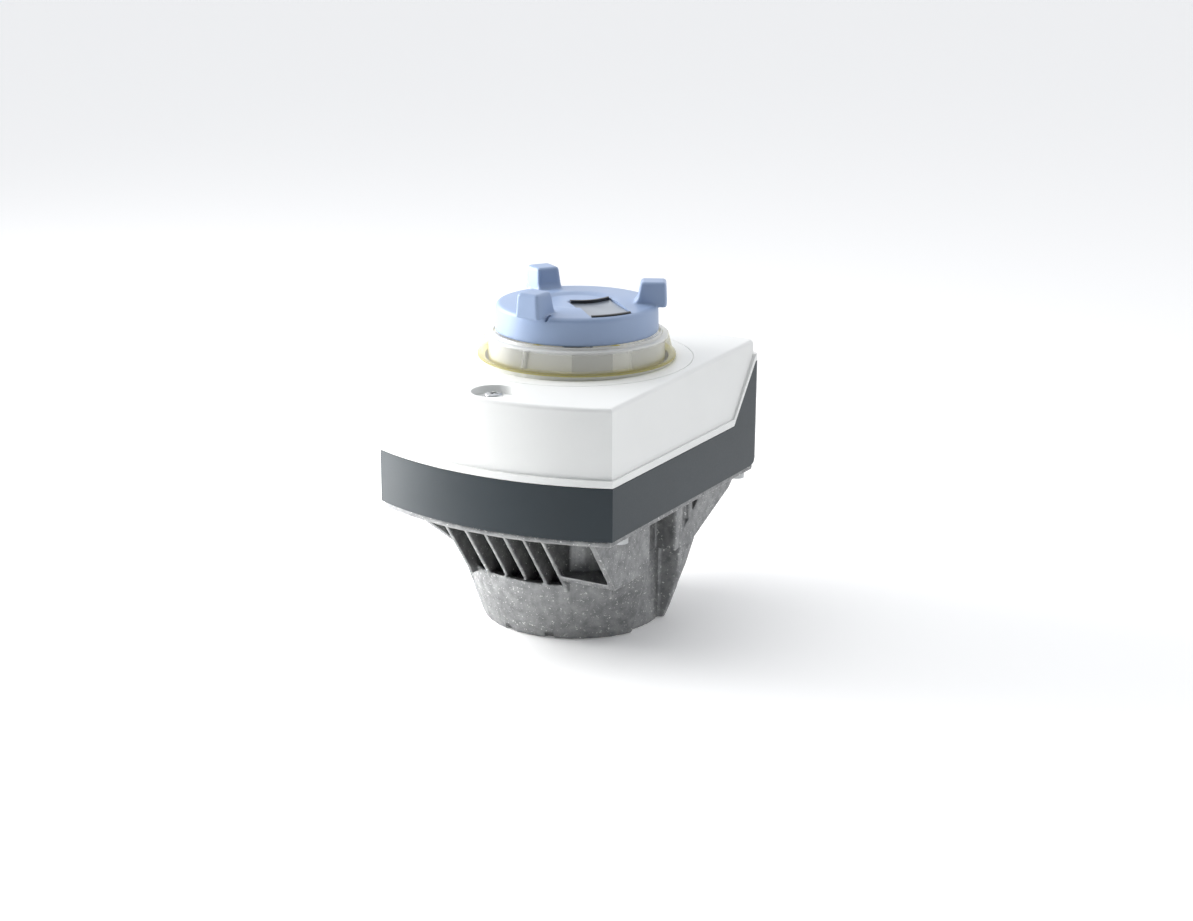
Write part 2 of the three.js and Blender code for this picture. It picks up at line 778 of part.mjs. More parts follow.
const pinion2FootZ = wheelZ - 0.4;
const wheel2TopZ = stage2WheelZ + stage2WheelFace;
const pinion2TopZ = stage2WheelZ + 0.5;
const stage2Gear = gearAt(stage2PinionTeeth, stage2PinionPhase, stage2Centre, pinion2FootZ, pinion2TopZ)
  .add(gearAt(stage2WheelTeeth, wheelPhase, stage2Centre, stage2WheelZ, wheel2TopZ))
  .subtract(discAt(stage2Centre, pinHole, pinion2FootZ - 1, wheel2TopZ + 1));
add('stage_2_gear', stage2Gear, gearPlastic);

// The hand gear turns on the shaft's stub. Its recess takes the clutch disc of the hand knob, which
// the press stroke brings down onto it.
const handWebZ = stubTopZ + 0.3;
const handHubRadius = 9.5;
const clutchSeatZ = handWebZ + 0.9;
const clutchFootZ = clutchSeatZ + knobStroke + touchGap;
const handTopZ = clutchFootZ - turningGap;
const handGear = gearAt(handTeeth, handPhase, axis, wheelZ, wheelZ + wheelFace)
  .add(disc(handHubRadius, shaftTopZ + 0.4, handTopZ))
  .subtract(disc(boreFor(stubRadius, bushGap), shaftTopZ, handWebZ))
  .subtract(disc(boreFor(knobShaftRadius, touchGap), shaftTopZ, handTopZ + 1))
  .subtract(disc(boreFor(clutchRadius, touchGap), clutchSeatZ, handTopZ + 1));
add('hand_gear', handGear, steel);

// ---------------------------------------------------------------- gear plates, pillars and pins

const frameLeft = 8 - halfWidth;
const frameRight = 42;
const frameFront = frontCornerY + 4.5;
const frameRear = 40;
const frameCorner = 7;

function frameShape() {
  const shape = new THREE.Shape();
  const corners = [
    [frameRight - frameCorner, frameRear - frameCorner],
    [frameLeft + frameCorner, frameRear - frameCorner],
    [frameLeft + frameCorner, frameFront + frameCorner],
    [frameRight - frameCorner, frameFront + frameCorner],
  ];
  shape.moveTo(frameRight, frameRear - frameCorner);
  corners.forEach(([x, y], i) => {
    shape.absarc(x, y, frameCorner, (i * Math.PI) / 2, ((i + 1) * Math.PI) / 2);
  });
  return shape;
}

const pillars = [];
for (const x of [frameLeft + frameCorner, frameRight - frameCorner]) {
  for (const y of [frameFront + frameCorner, frameRear - frameCorner]) {
    pillars.push(new THREE.Vector2(x, y));
  }
}
const upperPlateTopZ = upperPlateZ + gearPlateThickness;
const pillarRadius = 3;
const pillarNeck = 1.8;
const screwClearance = discAt(screwPlace, screwBossRadius + 0.6, 0, far);

function gearPlate(z) {
  const low = z - 1;
  const high = z + gearPlateThickness + 1;
  let plate = prism(frameShape(), z, z + gearPlateThickness, 4).subtract(screwClearance);
  for (const place of pillars) {
    plate = plate.subtract(discAt(place, pillarNeck + touchGap, low, high, smallSteps));
  }
  for (const place of casingCorners) {
    plate = plate.subtract(discAt(place, cornerBossRadius + 0.6, low, high));
  }
  for (const centre of [stage1Centre, stage2Centre]) {
    plate = plate.subtract(discAt(centre, pinRadius + bushGap, low, high));
  }
  return plate;
}

const lowerPlate = gearPlate(lowerPlateZ)
  .subtract(disc(shaftRadius + 3.2, lowerPlateZ - 1, lowerPlateZ + gearPlateThickness + 1));
add('gear_plate_lower', lowerPlate, steel);

const motorEars = [-10, 170].map((degrees) => polar(motorEarRadius, degrees).add(motorCentre));
const motorScrewRadius = 1.4;
const motorScrewHole = motorScrewRadius + threadGap;

// The legs of the drum pass through an arc in the upper plate, whose centre holds the knob's guide.
const guideRadius = slideRadius + 3;
const legReach = legRadius + 1.4;
const legArcFrom = legAngles[0] - legSpare;
const legArcTo = legAngles[2] + legTravel + legSpare;
const legArcMiddle = (legArcFrom + legArcTo) / 2;
const legSweep = sector(legArcFrom, legArcMiddle + 1, 0, far)
  .add(sector(legArcMiddle, legArcTo, 0, far));
const plateLow = upperPlateZ - 1;
const plateHigh = upperPlateTopZ + 1;
const legArc = tube(legCircle + legReach, legCircle - legReach, plateLow, plateHigh, largeSteps)
  .intersect(legSweep);
let upperPlate = gearPlate(upperPlateZ)
  .subtract(disc(guideRadius + touchGap, plateLow, plateHigh))
  .subtract(legArc)
  .subtract(discAt(motorCentre, 7, plateLow, plateHigh));
for (const place of motorEars) {
  upperPlate = upperPlate.subtract(discAt(place, motorScrewHole, plateLow, plateHigh, smallSteps));
}
add('gear_plate_upper', upperPlate, steel);

pillars.forEach((place, i) => {
  const body = discAt(place, pillarRadius, lowerPlateZ + gearPlateThickness, upperPlateZ, smallSteps);
  const neck = discAt(place, pillarNeck, baseFloorZ, upperPlateTopZ + 1.2, smallSteps);
  add(`plate_pillar_${i + 1}`, body.add(neck), steel);
});
add('stage_1_pin', discAt(stage1Centre, pinRadius, lowerPlateZ, upperPlateTopZ), steel);
add('stage_2_pin', discAt(stage2Centre, pinRadius, lowerPlateZ, upperPlateTopZ), steel);

// ---------------------------------------------------------------- motor

const motorZ = upperPlateTopZ + touchGap;
const motorTopZ = motorZ + motorHeight;
const earThickness = 1.5;
let motor = discAt(motorCentre, motorRadius, motorZ, motorTopZ)
  .add(discAt(motorCentre, 5, motorZ, motorTopZ + 1.4));
for (const place of motorEars) {
  motor = motor.add(discAt(place, 4.6, motorZ, motorZ + earThickness));
}
for (const place of motorEars) {
  motor = motor.subtract(discAt(place, motorScrewHole, motorZ - 1, motorZ + 3, smallSteps));
}
const motorBore = boreFor(motorShaftRadius, bushGap, smallSteps);
motor = motor.subtract(discAt(motorCentre, motorBore, motorZ - 1, motorZ + 8, smallSteps));
add('motor_body', motor, motorCase);
motorEars.forEach((place, i) => {
  const headZ = motorZ + earThickness + touchGap;
  const shankFootZ = upperPlateZ - 1;
  const head = discAt(place, 2.6, headZ, headZ + 1.8, smallSteps);
  const shank = discAt(place, motorScrewRadius, shankFootZ, headZ + 1, smallSteps);
  add(`motor_screw_${i + 1}`, head.add(shank), steel);
});
const motorPinionFootZ = stage2WheelZ - 0.6;
const motorPinion = gearAt(motorPinionTeeth, motorPhase, motorCentre, motorPinionFootZ, upperPlateZ - 0.6)
  .add(discAt(motorCentre, motorShaftRadius, stage2WheelZ, motorZ + 7, smallSteps));
add('motor_pinion', motorPinion, steel);

// ---------------------------------------------------------------- circuit board and what is on it

const boardZ = upperPlateTopZ - 9;
const boardThickness = 1.6;
const boardRight = halfWidth - 12;
const boardFront = frameRear + 1.5;
const boardRear = rearY - wall - 1.5;
const boardTopZ = boardZ + boardThickness;
let board = block(-boardRight, boardRight, boardFront, boardRear, boardZ, boardTopZ);
for (const place of casingCorners) {
  if (place.y > 0) {
    board = board.subtract(
      discAt(place, cornerBossRadius + 0.6, boardZ - 1, boardTopZ + 1, smallSteps));
  }
}
const sensorShaftRadius = 2;
board = board.subtract(
  discAt(sensorCentre, sensorShaftRadius + 1, boardZ - 1, boardTopZ + 1, smallSteps));
add('circuit_board', board, boardGreen);

function onBoard(name, x0, x1, y0, y1, height, look) {
  return add(name, block(x0, x1, y0, y1, boardTopZ, boardTopZ + height), look);
}

const terminalPitch = 5;
const terminalCount = 6;
const terminalDepth = 11;
const terminalHeight = 11;
for (const [name, x0] of [['terminal_block_left', -42], ['terminal_block_right', 12]]) {
  const rear = boardRear - 1;
  const topZ = boardTopZ + terminalHeight;
  const length = terminalPitch * terminalCount;
  let terminals = block(x0, x0 + length, rear - terminalDepth, rear, boardTopZ, topZ);
  for (let i = 0; i < terminalCount; i++) {
    const x = x0 + terminalPitch * (i + 0.5);
    terminals = terminals
      .subtract(block(x - 1.6, x + 1.6, rear - 3, rear + 1, boardTopZ + 2, boardTopZ + 6.5))
      .subtract(disc(1.7, topZ - 3.5, topZ + 1, smallSteps, x, rear - terminalDepth / 2));
  }
  add(name, terminals, blackPlastic);
}
onBoard('relay', -12, 4, boardRear - 14, boardRear - 2, 14, blackPlastic);
const capacitor = disc(4, boardTopZ, boardTopZ + 16, middleSteps, -44, boardFront + 5);
add('capacitor', capacitor, motorCase);

for (const [name, x] of [['limit_switch_1', -30], ['limit_switch_2', -8]]) {
  const body = block(x - 8, x + 8, boardFront + 1, boardFront + 7, boardTopZ, boardTopZ + 9)
    .add(block(x - 1.5, x + 1.5, boardFront - 0.4, boardFront + 2, boardTopZ + 5, boardTopZ + 7));
  add(name, body, blackPlastic);
}

const sensorBodyTop = boardTopZ + 7;
const sensorBore = boreFor(sensorShaftRadius, bushGap, smallSteps);
const sensorLeft = sensorCentre.x - 7.5;
const sensorRight = sensorCentre.x + 7.5;
const sensorBody = block(
  sensorLeft, sensorRight, boardFront + 0.5, boardFront + 10, boardTopZ, sensorBodyTop)
  .add(discAt(sensorCentre, 5.6, boardTopZ, sensorBodyTop))
  .subtract(discAt(sensorCentre, sensorBore, boardTopZ - 1, boardTopZ + 5, smallSteps));
add('potentiometer', sensorBody, blackPlastic);
const sensorGear = gearAt(sensorTeeth, sensorPhase, sensorCentre, outputGearZ, outputGearTopZ)
  .add(discAt(sensorCentre, sensorShaftRadius, outputGearZ, boardTopZ + 4, smallSteps));
add('potentiometer_gear', sensorGear, gearPlastic);

// ---------------------------------------------------------------- cable entry plugs

const plugReach = wall + 0.4;
const plugGap = 0.3;
const plugRim = 2;
const plugNames = ['cable_plug_left', 'cable_plug_centre', 'cable_plug_right'];
entryX.forEach((x, i) => {
  const radius = entryRadii[i];
  const profile = [
    [0, 0],
    [radius - plugGap, 0],
    [radius - plugGap, plugReach],
    [radius + plugRim, plugReach],
    [radius + plugRim, plugReach + 2.4],
    [radius + plugRim - 0.8, plugReach + 3.2],
    [0, plugReach + 3.2],
  ].map(([r, z]) => new THREE.Vector2(r, z));
  const plug = solid(
    new THREE.LatheGeometry(profile, entrySteps).translate(x, rearY - plugReach + 0.2, entryZ));
  const slotY = rearY + 1.6;
  const slotReach = radius * 0.7;
  const slot = block(x - slotReach, x + slotReach, slotY, slotY + 4, entryZ - 1, entryZ + 1);
  add(plugNames[i], plug.subtract(slot), darkPlastic);
});

// ---------------------------------------------------------------- cover

const openingRadius = ringFootRadius - 3.2;

// The cover's outside: bevelled top edge, drawn in towards the top, top face falling to the front.
function coverShell(inset, topZ, bevel) {
  const options = {
    depth: topZ - baseBottomZ - bevel,
    curveSegments: 10,
    bevelEnabled: bevel > 0,
    bevelThickness: bevel,
    bevelSize: bevel,
    bevelOffset: -bevel,
    bevelSegments: 3,
  };
  const geometry = new THREE.ExtrudeGeometry(bodyOutline(inset), options).translate(0, 0, baseBottomZ);
  const position = geometry.attributes.position;
  const middleY = (frontCornerY + rearY) / 2;
  for (let i = 0; i < position.count; i++) {
    const climb = Math.max(0, (position.getZ(i) - baseTopZ) / (coverTopZ - baseTopZ));
    const shrink = 1 - (coverDraft * climb) / halfWidth;
    const y = position.getY(i);
    position.setX(i, position.getX(i) * shrink);
    position.setY(i, middleY + (y - middleY) * shrink);
    if (climb > 0.5) position.setZ(i, position.getZ(i) + y * coverTopSlope);
  }
  return solid(geometry);
}

function coverTopAt(y) {
  return coverTopZ + y * coverTopSlope;
}

const pocketFloorZ = coverTopAt(screwY) - pocketDepth;
const pocketRimZ = coverTopAt(screwY) - 0.5;
let cover = coverShell(lipStep, coverTopZ, coverEdgeRadius);
cover = cover.subtract(prism(bodyOutline(lipStep), 0, baseTopZ - 1));
cover = cover.add(prism(bodyOutline(0), baseTopZ - 10, riseTopZ + lipHeight)
  .intersect(belowSeam(lipHeight)));
cover = cover.subtract(coverShell(wall, coverTopZ - wall, 0)
  .add(prism(bodyOutline(wall), baseBottomZ - 1, baseTopZ + 10)));
const coverInside = coverShell(lipStep + 1, coverTopZ - 1, 0);
cover = cover.add(
  discAt(screwPlace, pocketRadius + 2, pocketFloorZ - 2.2, pocketRimZ).intersect(coverInside));
cover = cover.subtract(discAt(screwPlace, pocketRadius, pocketFloorZ, coverTopZ + 5));
cover = cover.subtract(discAt(screwPlace, coverScrewRadius + turningGap, 0, pocketFloorZ + 1));
cover = cover.subtract(disc(openingRadius, baseBottomZ, far, largeSteps));
cover = cover.subtract(belowSeam(seamGap));
add('top_cover', cover, palePlastic);

const screwSeatZ = pocketFloorZ + touchGap;
const crossZ = screwSeatZ + coverScrewHeadHeight;
let coverScrew = discAt(screwPlace, coverScrewHeadRadius, screwSeatZ, crossZ)
  .add(discAt(screwPlace, coverScrewRadius, threadFootZ + 2, screwSeatZ + 1, smallSteps));
const recessDepth = 1.6;
for (const [dx, dy] of [[2.6, 0.55], [0.55, 2.6]]) {
  coverScrew = coverScrew.subtract(
    block(screwX - dx, screwX + dx, screwY - dy, screwY + dy, crossZ - recessDepth, crossZ + 1));
}
add('cover_screw', coverScrew, steel);

// ---------------------------------------------------------------- window ring and position drum

const ringSeatZ = coverTopAt(-ringFootRadius) - 0.2;
const ringFootZ = coverTopAt(ringFootRadius) + 0.3;
const ringSkirtZ = coverTopZ - wall - 2.4;
const ringOuterSkirt = openingRadius - 0.3;
const ringProfile = [
  [ringOuterSkirt - 1.6, ringSkirtZ],
  [ringOuterSkirt, ringSkirtZ],
  [ringOuterSkirt, ringFootZ],
  [ringFootRadius, ringFootZ],
  [ringFootRadius, ringFootZ + 1.2],
  [ringFootRadius - 1, ringFootZ + 2],
  [ringTopRadius, ringTopZ],
  [ringLipRadius, ringTopZ],
  [ringLipRadius, ringTopZ - 0.9],
  [ringTopRadius - ringThickness + 0.3, ringTopZ - 1.2],
  [ringOuterSkirt - 1.6, ringFootZ + 1],
];
add('window_ring', turned(ringProfile, largeSteps), clearPlastic);

const sealRadius = (ringFootRadius + openingRadius) / 2;
const sealBody = tube(sealRadius + 0.9, sealRadius - 0.9, ringSeatZ - 1, ringFootZ - 0.02, largeSteps)
  .subtract(prism(bodyOutline(-20), 0, 1));
const sealCut = coverShell(0, coverTopZ + 0.02, 0);
add('window_seal', sealBody.subtract(sealCut), paleSilicone);

const webZ = ringSkirtZ + 1.4;
const drumFootZ = webZ;
const webThickness = 1.8;
const drumProfileClosed = [
  [drumRadius - drumThickness, drumFootZ + webThickness + 0.3],
  [drumRadius, drumFootZ + webThickness + 0.3],
  [drumRadius, drumTopZ],
  [drumRadius - 8, drumTopZ],
  [drumRadius - 8, drumTopZ - drumThickness],
  [drumRadius - drumThickness, drumTopZ - drumThickness],
];
add('indicator_drum', turned(drumProfileClosed, largeSteps), drumPlastic);

const yellowFootZ = drumFootZ - 0.4;
const yellowRing = turned(
  [
    [drumRadius - 3, yellowFootZ],
    [drumRadius + 0.9, yellowFootZ],
    [drumRadius + 0.9, yellowFootZ + 5],
    [drumRadius + 0.2, yellowFootZ + 5],
    [drumRadius + 0.2, yellowFootZ + 2.2],
    [drumRadius - 3, yellowFootZ + 2.2],
  ],
  largeSteps
);
add('indicator_ring', yellowRing, yellowPlastic);

const carrierInner = legCircle - legRadius - 1;
let carrier = tube(drumRadius - 3.2, carrierInner, webZ, webZ + webThickness, largeSteps);
for (const degrees of legAngles) {
  const leg = discAt(polar(legCircle, degrees), legRadius, outputGearZ + 0.5, webZ + 1, smallSteps);
  carrier = carrier.add(leg);
}
add('indicator_carrier', carrier, gearPlastic);

// ---------------------------------------------------------------- hand knob and its press stroke

const guideFootZ = upperPlateZ - 3.2;
const slideFlangeZ = knobFootZ - 3.4;
const slideFlangeThickness = 2;
const slideFlangeRadius = 11;
const slideFlangeTopZ = slideFlangeZ + slideFlangeThickness;
const guideTopZ = slideFlangeZ - springLength;

const guideBore = slideRadius + 0.15;
const guideFlange = tube(guideRadius + 3, guideBore, upperPlateTopZ + bushGap, upperPlateTopZ + 2);
const guide = tube(guideRadius, guideBore, guideFootZ, guideTopZ).add(guideFlange);
add('knob_guide_tube', guide, gearPlastic);

const slideFootZ = upperPlateTopZ + 1;
const slideBore = boreFor(knobShaftRadius, touchGap);
const slide = tube(slideRadius, slideBore, slideFootZ, slideFlangeTopZ)
  .add(tube(slideFlangeRadius, slideBore, slideFlangeZ, slideFlangeTopZ));
add('knob_slide_bush', slide, gearPlastic);

const retainerZ = slideFootZ - 2;
const retainerGrooveHeight = 1.2;
const retainerTopZ = retainerZ + retainerGrooveHeight;
const knobHubZ = slideFlangeTopZ + seamGap;
const knobShaftFootZ = stubTopZ - pilotDepth + knobStroke + 0.5;
const knobShaftTopZ = knobCrownZ - 5;
const knobShaft = disc(knobShaftRadius, knobShaftFootZ, knobShaftTopZ)
  .add(disc(clutchRadius, clutchFootZ, clutchFootZ + clutchHeight))
  .subtract(tube(knobShaftRadius + 1, knobShaftRadius - 0.8, retainerZ, retainerTopZ));
add('knob_shaft', knobShaft, steel);
const retainer = tube(
  slideRadius - seamGap, knobShaftRadius - 0.7, retainerZ + touchGap, retainerTopZ - touchGap)
  .subtract(sector(-30, 30, retainerZ - 1, retainerTopZ + 1));
add('knob_retaining_clip', retainer, steel);

// The return spring: a helix between the guide tube and the slide's flange.
class Helix extends THREE.Curve {
  constructor(radius, fromZ, toZ, turns) {
    super();
    this.radius = radius;
    this.fromZ = fromZ;
    this.toZ = toZ;
    this.turns = turns;
  }

  getPoint(t, target = new THREE.Vector3()) {
    const turn = 2 * Math.PI * this.turns * t;
    const z = this.fromZ + (this.toZ - this.fromZ) * t;
    return target.set(this.radius * Math.cos(turn), this.radius * Math.sin(turn), z);
  }
}

const springFootZ = guideTopZ + springWire + touchGap;
const springHeadZ = slideFlangeZ - springWire - touchGap;
const springTurns = 7;
const springPath = new Helix(springRadius, springFootZ, springHeadZ, springTurns);
const springSection = new THREE.Shape();
springSection.absarc(0, 0, springWire, 0, 2 * Math.PI);
const springGeometry = new THREE.ExtrudeGeometry(springSection, {
  steps: springTurns * 10,
  curveSegments: 3,
  bevelEnabled: false,
  extrudePath: springPath,
});
add('knob_return_spring', solid(springGeometry), steel);

// The knob: a shallow cap with a rounded rim, a slight crown and a dish in its middle.
const knobCeilingZ = knobCrownZ - 6;
const knobBoreDepth = 4.5;
const knobBossRadius = 9;
const knobTopRadius = knobRadius - knobDraft;
const knobRimTurn = knobEdgeRadius * (1 - Math.SQRT1_2);
const crownProfile = [
  [0, knobHubZ],
  [knobBossRadius, knobHubZ],
  [knobBossRadius, knobCeilingZ],
  [knobRadius - knobSkirt, knobCeilingZ],
  [knobRadius - knobSkirt, knobFootZ],
  [knobRadius, knobFootZ],
  [knobTopRadius, knobEdgeZ - knobEdgeRadius],
  [knobTopRadius - knobRimTurn, knobEdgeZ - knobRimTurn],
  [knobTopRadius - knobEdgeRadius, knobEdgeZ],
  [knobDishRadius + 8, knobCrownZ - 0.4],
  [knobDishRadius, knobCrownZ],
  [knobDishRadius - 3, knobCrownZ - knobDishDepth],
  [0, knobCrownZ - knobDishDepth],
];
let knob = turned(crownProfile, largeSteps);

// A lobe: its side outline pushed across its width, then drawn in towards the top.
function lobe(degrees) {
  const half = lobeWidth / 2;
  const taper = 1 - lobeTopWidth / lobeWidth;
  const side = new THREE.Shape([
    new THREE.Vector2(lobeRootRadius, knobCrownZ - knobDishDepth),
    new THREE.Vector2(lobeRootRadius + 2, lobeUndersideZ),
    new THREE.Vector2(lobeOuterRadius, lobeUndersideZ),
    new THREE.Vector2(lobeOuterRadius - 0.6, lobeTopZ),
    new THREE.Vector2(lobeTopInnerRadius, lobeTopZ),
  ]);
  const geometry = new THREE.ExtrudeGeometry(side, { depth: lobeWidth, bevelEnabled: false })
    .translate(0, 0, -half)
    .rotateX(Math.PI / 2);
  const position = geometry.attributes.position;
  for (let i = 0; i < position.count; i++) {
    const climb = Math.max(0, (position.getZ(i) - lobeUndersideZ) / (lobeTopZ - lobeUndersideZ));
    position.setY(i, position.getY(i) * (1 - climb * taper));
  }
  return solid(geometry.rotateZ(rad(degrees)));
}

for (let i = 0; i < lobeCount; i++) {
  knob = knob.add(lobe(lobeFirstAngle + (360 / lobeCount) * i));
}
knob = knob.subtract(disc(knobShaftRadius + bushGap, 0, knobCrownZ - knobBoreDepth));

// The window's outline lies along its own direction: two straight sides, an inner end that bows
// outwards and an outer end that follows the knob's rim.
function windowShape(inset) {
  const low = windowLow + inset;
  const high = windowHigh - inset;
  const outer = windowOuter - inset;
  const lowAngle = Math.asin(low / outer);
  const highAngle = Math.asin(high / outer);
  const shape = new THREE.Shape();
  shape.moveTo(windowInner + inset, low);
  shape.absarc(0, 0, outer, lowAngle, highAngle);
  shape.lineTo(windowInner + inset - 2.8, high);
  const bow = new THREE.Vector2(windowInner + 2 * windowInnerBow - 1.4, (low + high) / 2);
  shape.quadraticCurveTo(bow.x + inset, bow.y, windowInner + inset, low);
  return shape;
}

function windowPrism(inset, z0, z1) {
  return solid(prismGeometry(windowShape(inset), z0, z1, 8).rotateZ(rad(windowDirection)));
}

const windowFloorZ = knobEdgeZ - windowDepth;
knob = knob.subtract(windowPrism(0, windowFloorZ, knobCrownZ + 5));
add('manual_knob', knob, bluePlastic);
const windowPlate = windowPrism(0.2, windowFloorZ + touchGap, windowFloorZ + 0.9);
add('knob_window_plate', windowPlate, silverFoil);

export default actuator;
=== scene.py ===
# %% [markdown]
# # A motor-driven valve actuator head
#
# The object is a quarter-turn actuator: an aluminium casting that bolts to a valve, a dark
# tray with the gears, a pale cover, a clear collar with a position drum in it, and a blue hand
# knob on top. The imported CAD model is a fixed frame. Every piece made here takes its place from
# it and moves with one of its bodies.

# %% Load the frame
import json
import math

import bmesh
import bpy
import numpy as np
from mathutils import Matrix, Vector


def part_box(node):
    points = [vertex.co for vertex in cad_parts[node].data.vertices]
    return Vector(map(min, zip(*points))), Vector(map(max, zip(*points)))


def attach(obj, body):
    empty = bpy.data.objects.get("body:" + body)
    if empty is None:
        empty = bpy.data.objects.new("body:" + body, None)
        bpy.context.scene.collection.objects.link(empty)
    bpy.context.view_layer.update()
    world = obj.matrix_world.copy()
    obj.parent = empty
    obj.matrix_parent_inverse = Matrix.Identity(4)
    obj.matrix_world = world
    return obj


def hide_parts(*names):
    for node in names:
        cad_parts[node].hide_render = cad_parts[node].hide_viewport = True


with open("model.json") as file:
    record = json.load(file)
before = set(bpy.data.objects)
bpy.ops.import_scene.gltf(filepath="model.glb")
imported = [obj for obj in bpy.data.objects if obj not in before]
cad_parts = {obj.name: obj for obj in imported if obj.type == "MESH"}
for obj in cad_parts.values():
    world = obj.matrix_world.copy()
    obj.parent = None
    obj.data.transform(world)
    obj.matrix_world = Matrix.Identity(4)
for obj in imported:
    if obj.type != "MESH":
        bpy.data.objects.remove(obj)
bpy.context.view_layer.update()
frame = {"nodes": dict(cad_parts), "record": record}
nodes = frame["nodes"]
scene = bpy.context.scene
MM = 0.001

# %% [markdown]
# ## Camera
#
# A product picture of such a head is taken with a long lens from a little above, so that the
# sides stay nearly parallel. A camera can be aimed with a tracking constraint, but a matrix made
# from three directions gives the same aim each run and also takes the slight roll.

# %% Camera
AZIMUTH, ELEVATION, ROLL = (math.radians(a) for a in (29.344, 16.245, 0.416))
LENS_MM, SENSOR_MM = 66.5, 36
TARGET = Vector((11.229, 0, 76.616)) * MM
DISTANCE = 1060.06 * MM

back = Vector((
    math.sin(AZIMUTH) * math.cos(ELEVATION),
    -math.cos(AZIMUTH) * math.cos(ELEVATION),
    math.sin(ELEVATION),
))
level_right = Vector((math.cos(AZIMUTH), math.sin(AZIMUTH), 0))
level_up = back.cross(level_right)
right = math.cos(ROLL) * level_right + math.sin(ROLL) * level_up
up = math.cos(ROLL) * level_up - math.sin(ROLL) * level_right
aim = Matrix((right, up, back)).transposed().to_4x4()

camera_data = bpy.data.cameras.new("camera")
camera_data.lens = LENS_MM
camera_data.sensor_width = SENSOR_MM
camera = bpy.data.objects.new("camera", camera_data)
camera.matrix_world = Matrix.Translation(TARGET + back * DISTANCE) @ aim
scene.collection.objects.link(camera)
scene.camera = camera
print("camera at", [round(c, 3) for c in camera.matrix_world.translation])

# %% [markdown]
# ## Floor
#
# The head stands on a plain pale floor. A floor can be a sheet that curves up behind, but a
# large flat one is enough where the lens looks down on it. It lies just under the casting, so
# that the two faces don't share a plane. Paper is matt, so its finish is one colour with a high
# roughness, and a trace of glow keeps it white towards the edges.

# %% Floor
FLOOR_SIZE, FLOOR_SINK, FLOOR_GLOW = 24.0, 0.2, 0.12
scene.view_settings.view_transform = "Standard"


def linear(hex_colour):
    """An sRGB hex colour as linear red, green, blue and alpha."""
    parts = [int(hex_colour[i:i + 2], 16) / 255 for i in (1, 3, 5)]
    return [c / 12.92 if c <= 0.04045 else ((c + 0.055) / 1.055) ** 2.4 for c in parts] + [1]


def finish(name, hex_colour, roughness, metallic=0.0, ior=None):
    """A material with one Principled shader, ready for its own pattern."""
    material = bpy.data.materials.new(name)
    material.use_nodes = True
    tree = material.node_tree
    shader = tree.nodes["Principled BSDF"]
    shader.inputs["Base Color"].default_value = linear(hex_colour)
    shader.inputs["Roughness"].default_value = roughness
    shader.inputs["Metallic"].default_value = metallic
    if ior:
        shader.inputs["IOR"].default_value = ior
    return material, tree, shader


half = FLOOR_SIZE / 2
floor_mesh = bpy.data.meshes.new("floor")
floor_mesh.from_pydata(
    [(-half, -half, 0), (half, -half, 0), (half, half, 0), (-half, half, 0)], [], [(0, 1, 2, 3)])
floor = bpy.data.objects.new("floor", floor_mesh)
floor.location.z = -FLOOR_SINK * MM
scene.collection.objects.link(floor)
floor_paper, _, floor_shader = finish("white_paper_backdrop", "#FBFBFA", 0.9)
floor_shader.inputs["Emission Color"].default_value = linear("#FFFFFF")
floor_shader.inputs["Emission Strength"].default_value = FLOOR_GLOW
floor_mesh.materials.append(floor_paper)
print("floor:", FLOOR_SIZE, "m square")

# %% [markdown]
# ## Surround
#
# A studio is pale all round and darker on the side where the viewer stands. A picture of a real
# studio could light the head, but a blend of two greys that follows the direction to the viewer
# does the same and stays adjustable.

# %% Surround
SURROUND_STRENGTH = 1.25
DARK_FROM, DARK_TO = -0.45, 0.7


def put(tree, kind, values=None, links=None, **settings):
    """Adds a shader node with its settings, socket values and links."""
    node = tree.nodes.new(kind)
    for key, value in settings.items():
        setattr(node, key, value)
    for socket, value in (values or {}).items():
        node.inputs[socket].default_value = value
    for socket, source in (links or {}).items():
        tree.links.new(source, node.inputs[socket])
    return node


def span(tree, value, start=0.0, end=1.0, first=0.0, last=1.0, **settings):
    """Turns the stretch from start to end of a value into the stretch from first to last."""
    return put(
        tree, "ShaderNodeMapRange",
        {"From Min": start, "From Max": end, "To Min": first, "To Max": last},
        {"Value": value}, **settings).outputs["Result"]


def blend(tree, share, first, second):
    """A colour between two others, each given as a hex colour or as a socket."""
    node = put(tree, "ShaderNodeMix", links={0: share}, data_type="RGBA")
    for socket, colour in ((6, first), (7, second)):
        if isinstance(colour, str):
            node.inputs[socket].default_value = linear(colour)
        else:
            tree.links.new(colour, node.inputs[socket])
    return node.outputs[2]


world = bpy.data.worlds.new("studio")
world.use_nodes = True
surround = world.node_tree.nodes["Background"]
surround.inputs["Strength"].default_value = SURROUND_STRENGTH
towards_front = Vector((back.x, back.y, 0)).normalized()
direction = put(world.node_tree, "ShaderNodeTexCoord").outputs["Generated"]
frontness = put(
    world.node_tree, "ShaderNodeVectorMath", {1: towards_front}, {0: direction},
    operation="DOT_PRODUCT").outputs["Value"]
darkness = span(world.node_tree, frontness, DARK_FROM, DARK_TO, interpolation_type="SMOOTHSTEP")
walls = blend(world.node_tree, darkness, "#FBFCFF", "#4E5258")
world.node_tree.links.new(walls, surround.inputs["Color"])
scene.world = world
print("surround:", world.name)

# %% [markdown]
# ## Soft panels
#
# Three soft panels stand on the left, on the right and above, and face the head. A fourth hangs
# low on the left and faces the floor, which throws its light back up on the casting and makes
# the long pale reflection on the dark tray. Lamps could be aimed by hand, but a turn, a tilt and
# a distance from the head are easier to change.


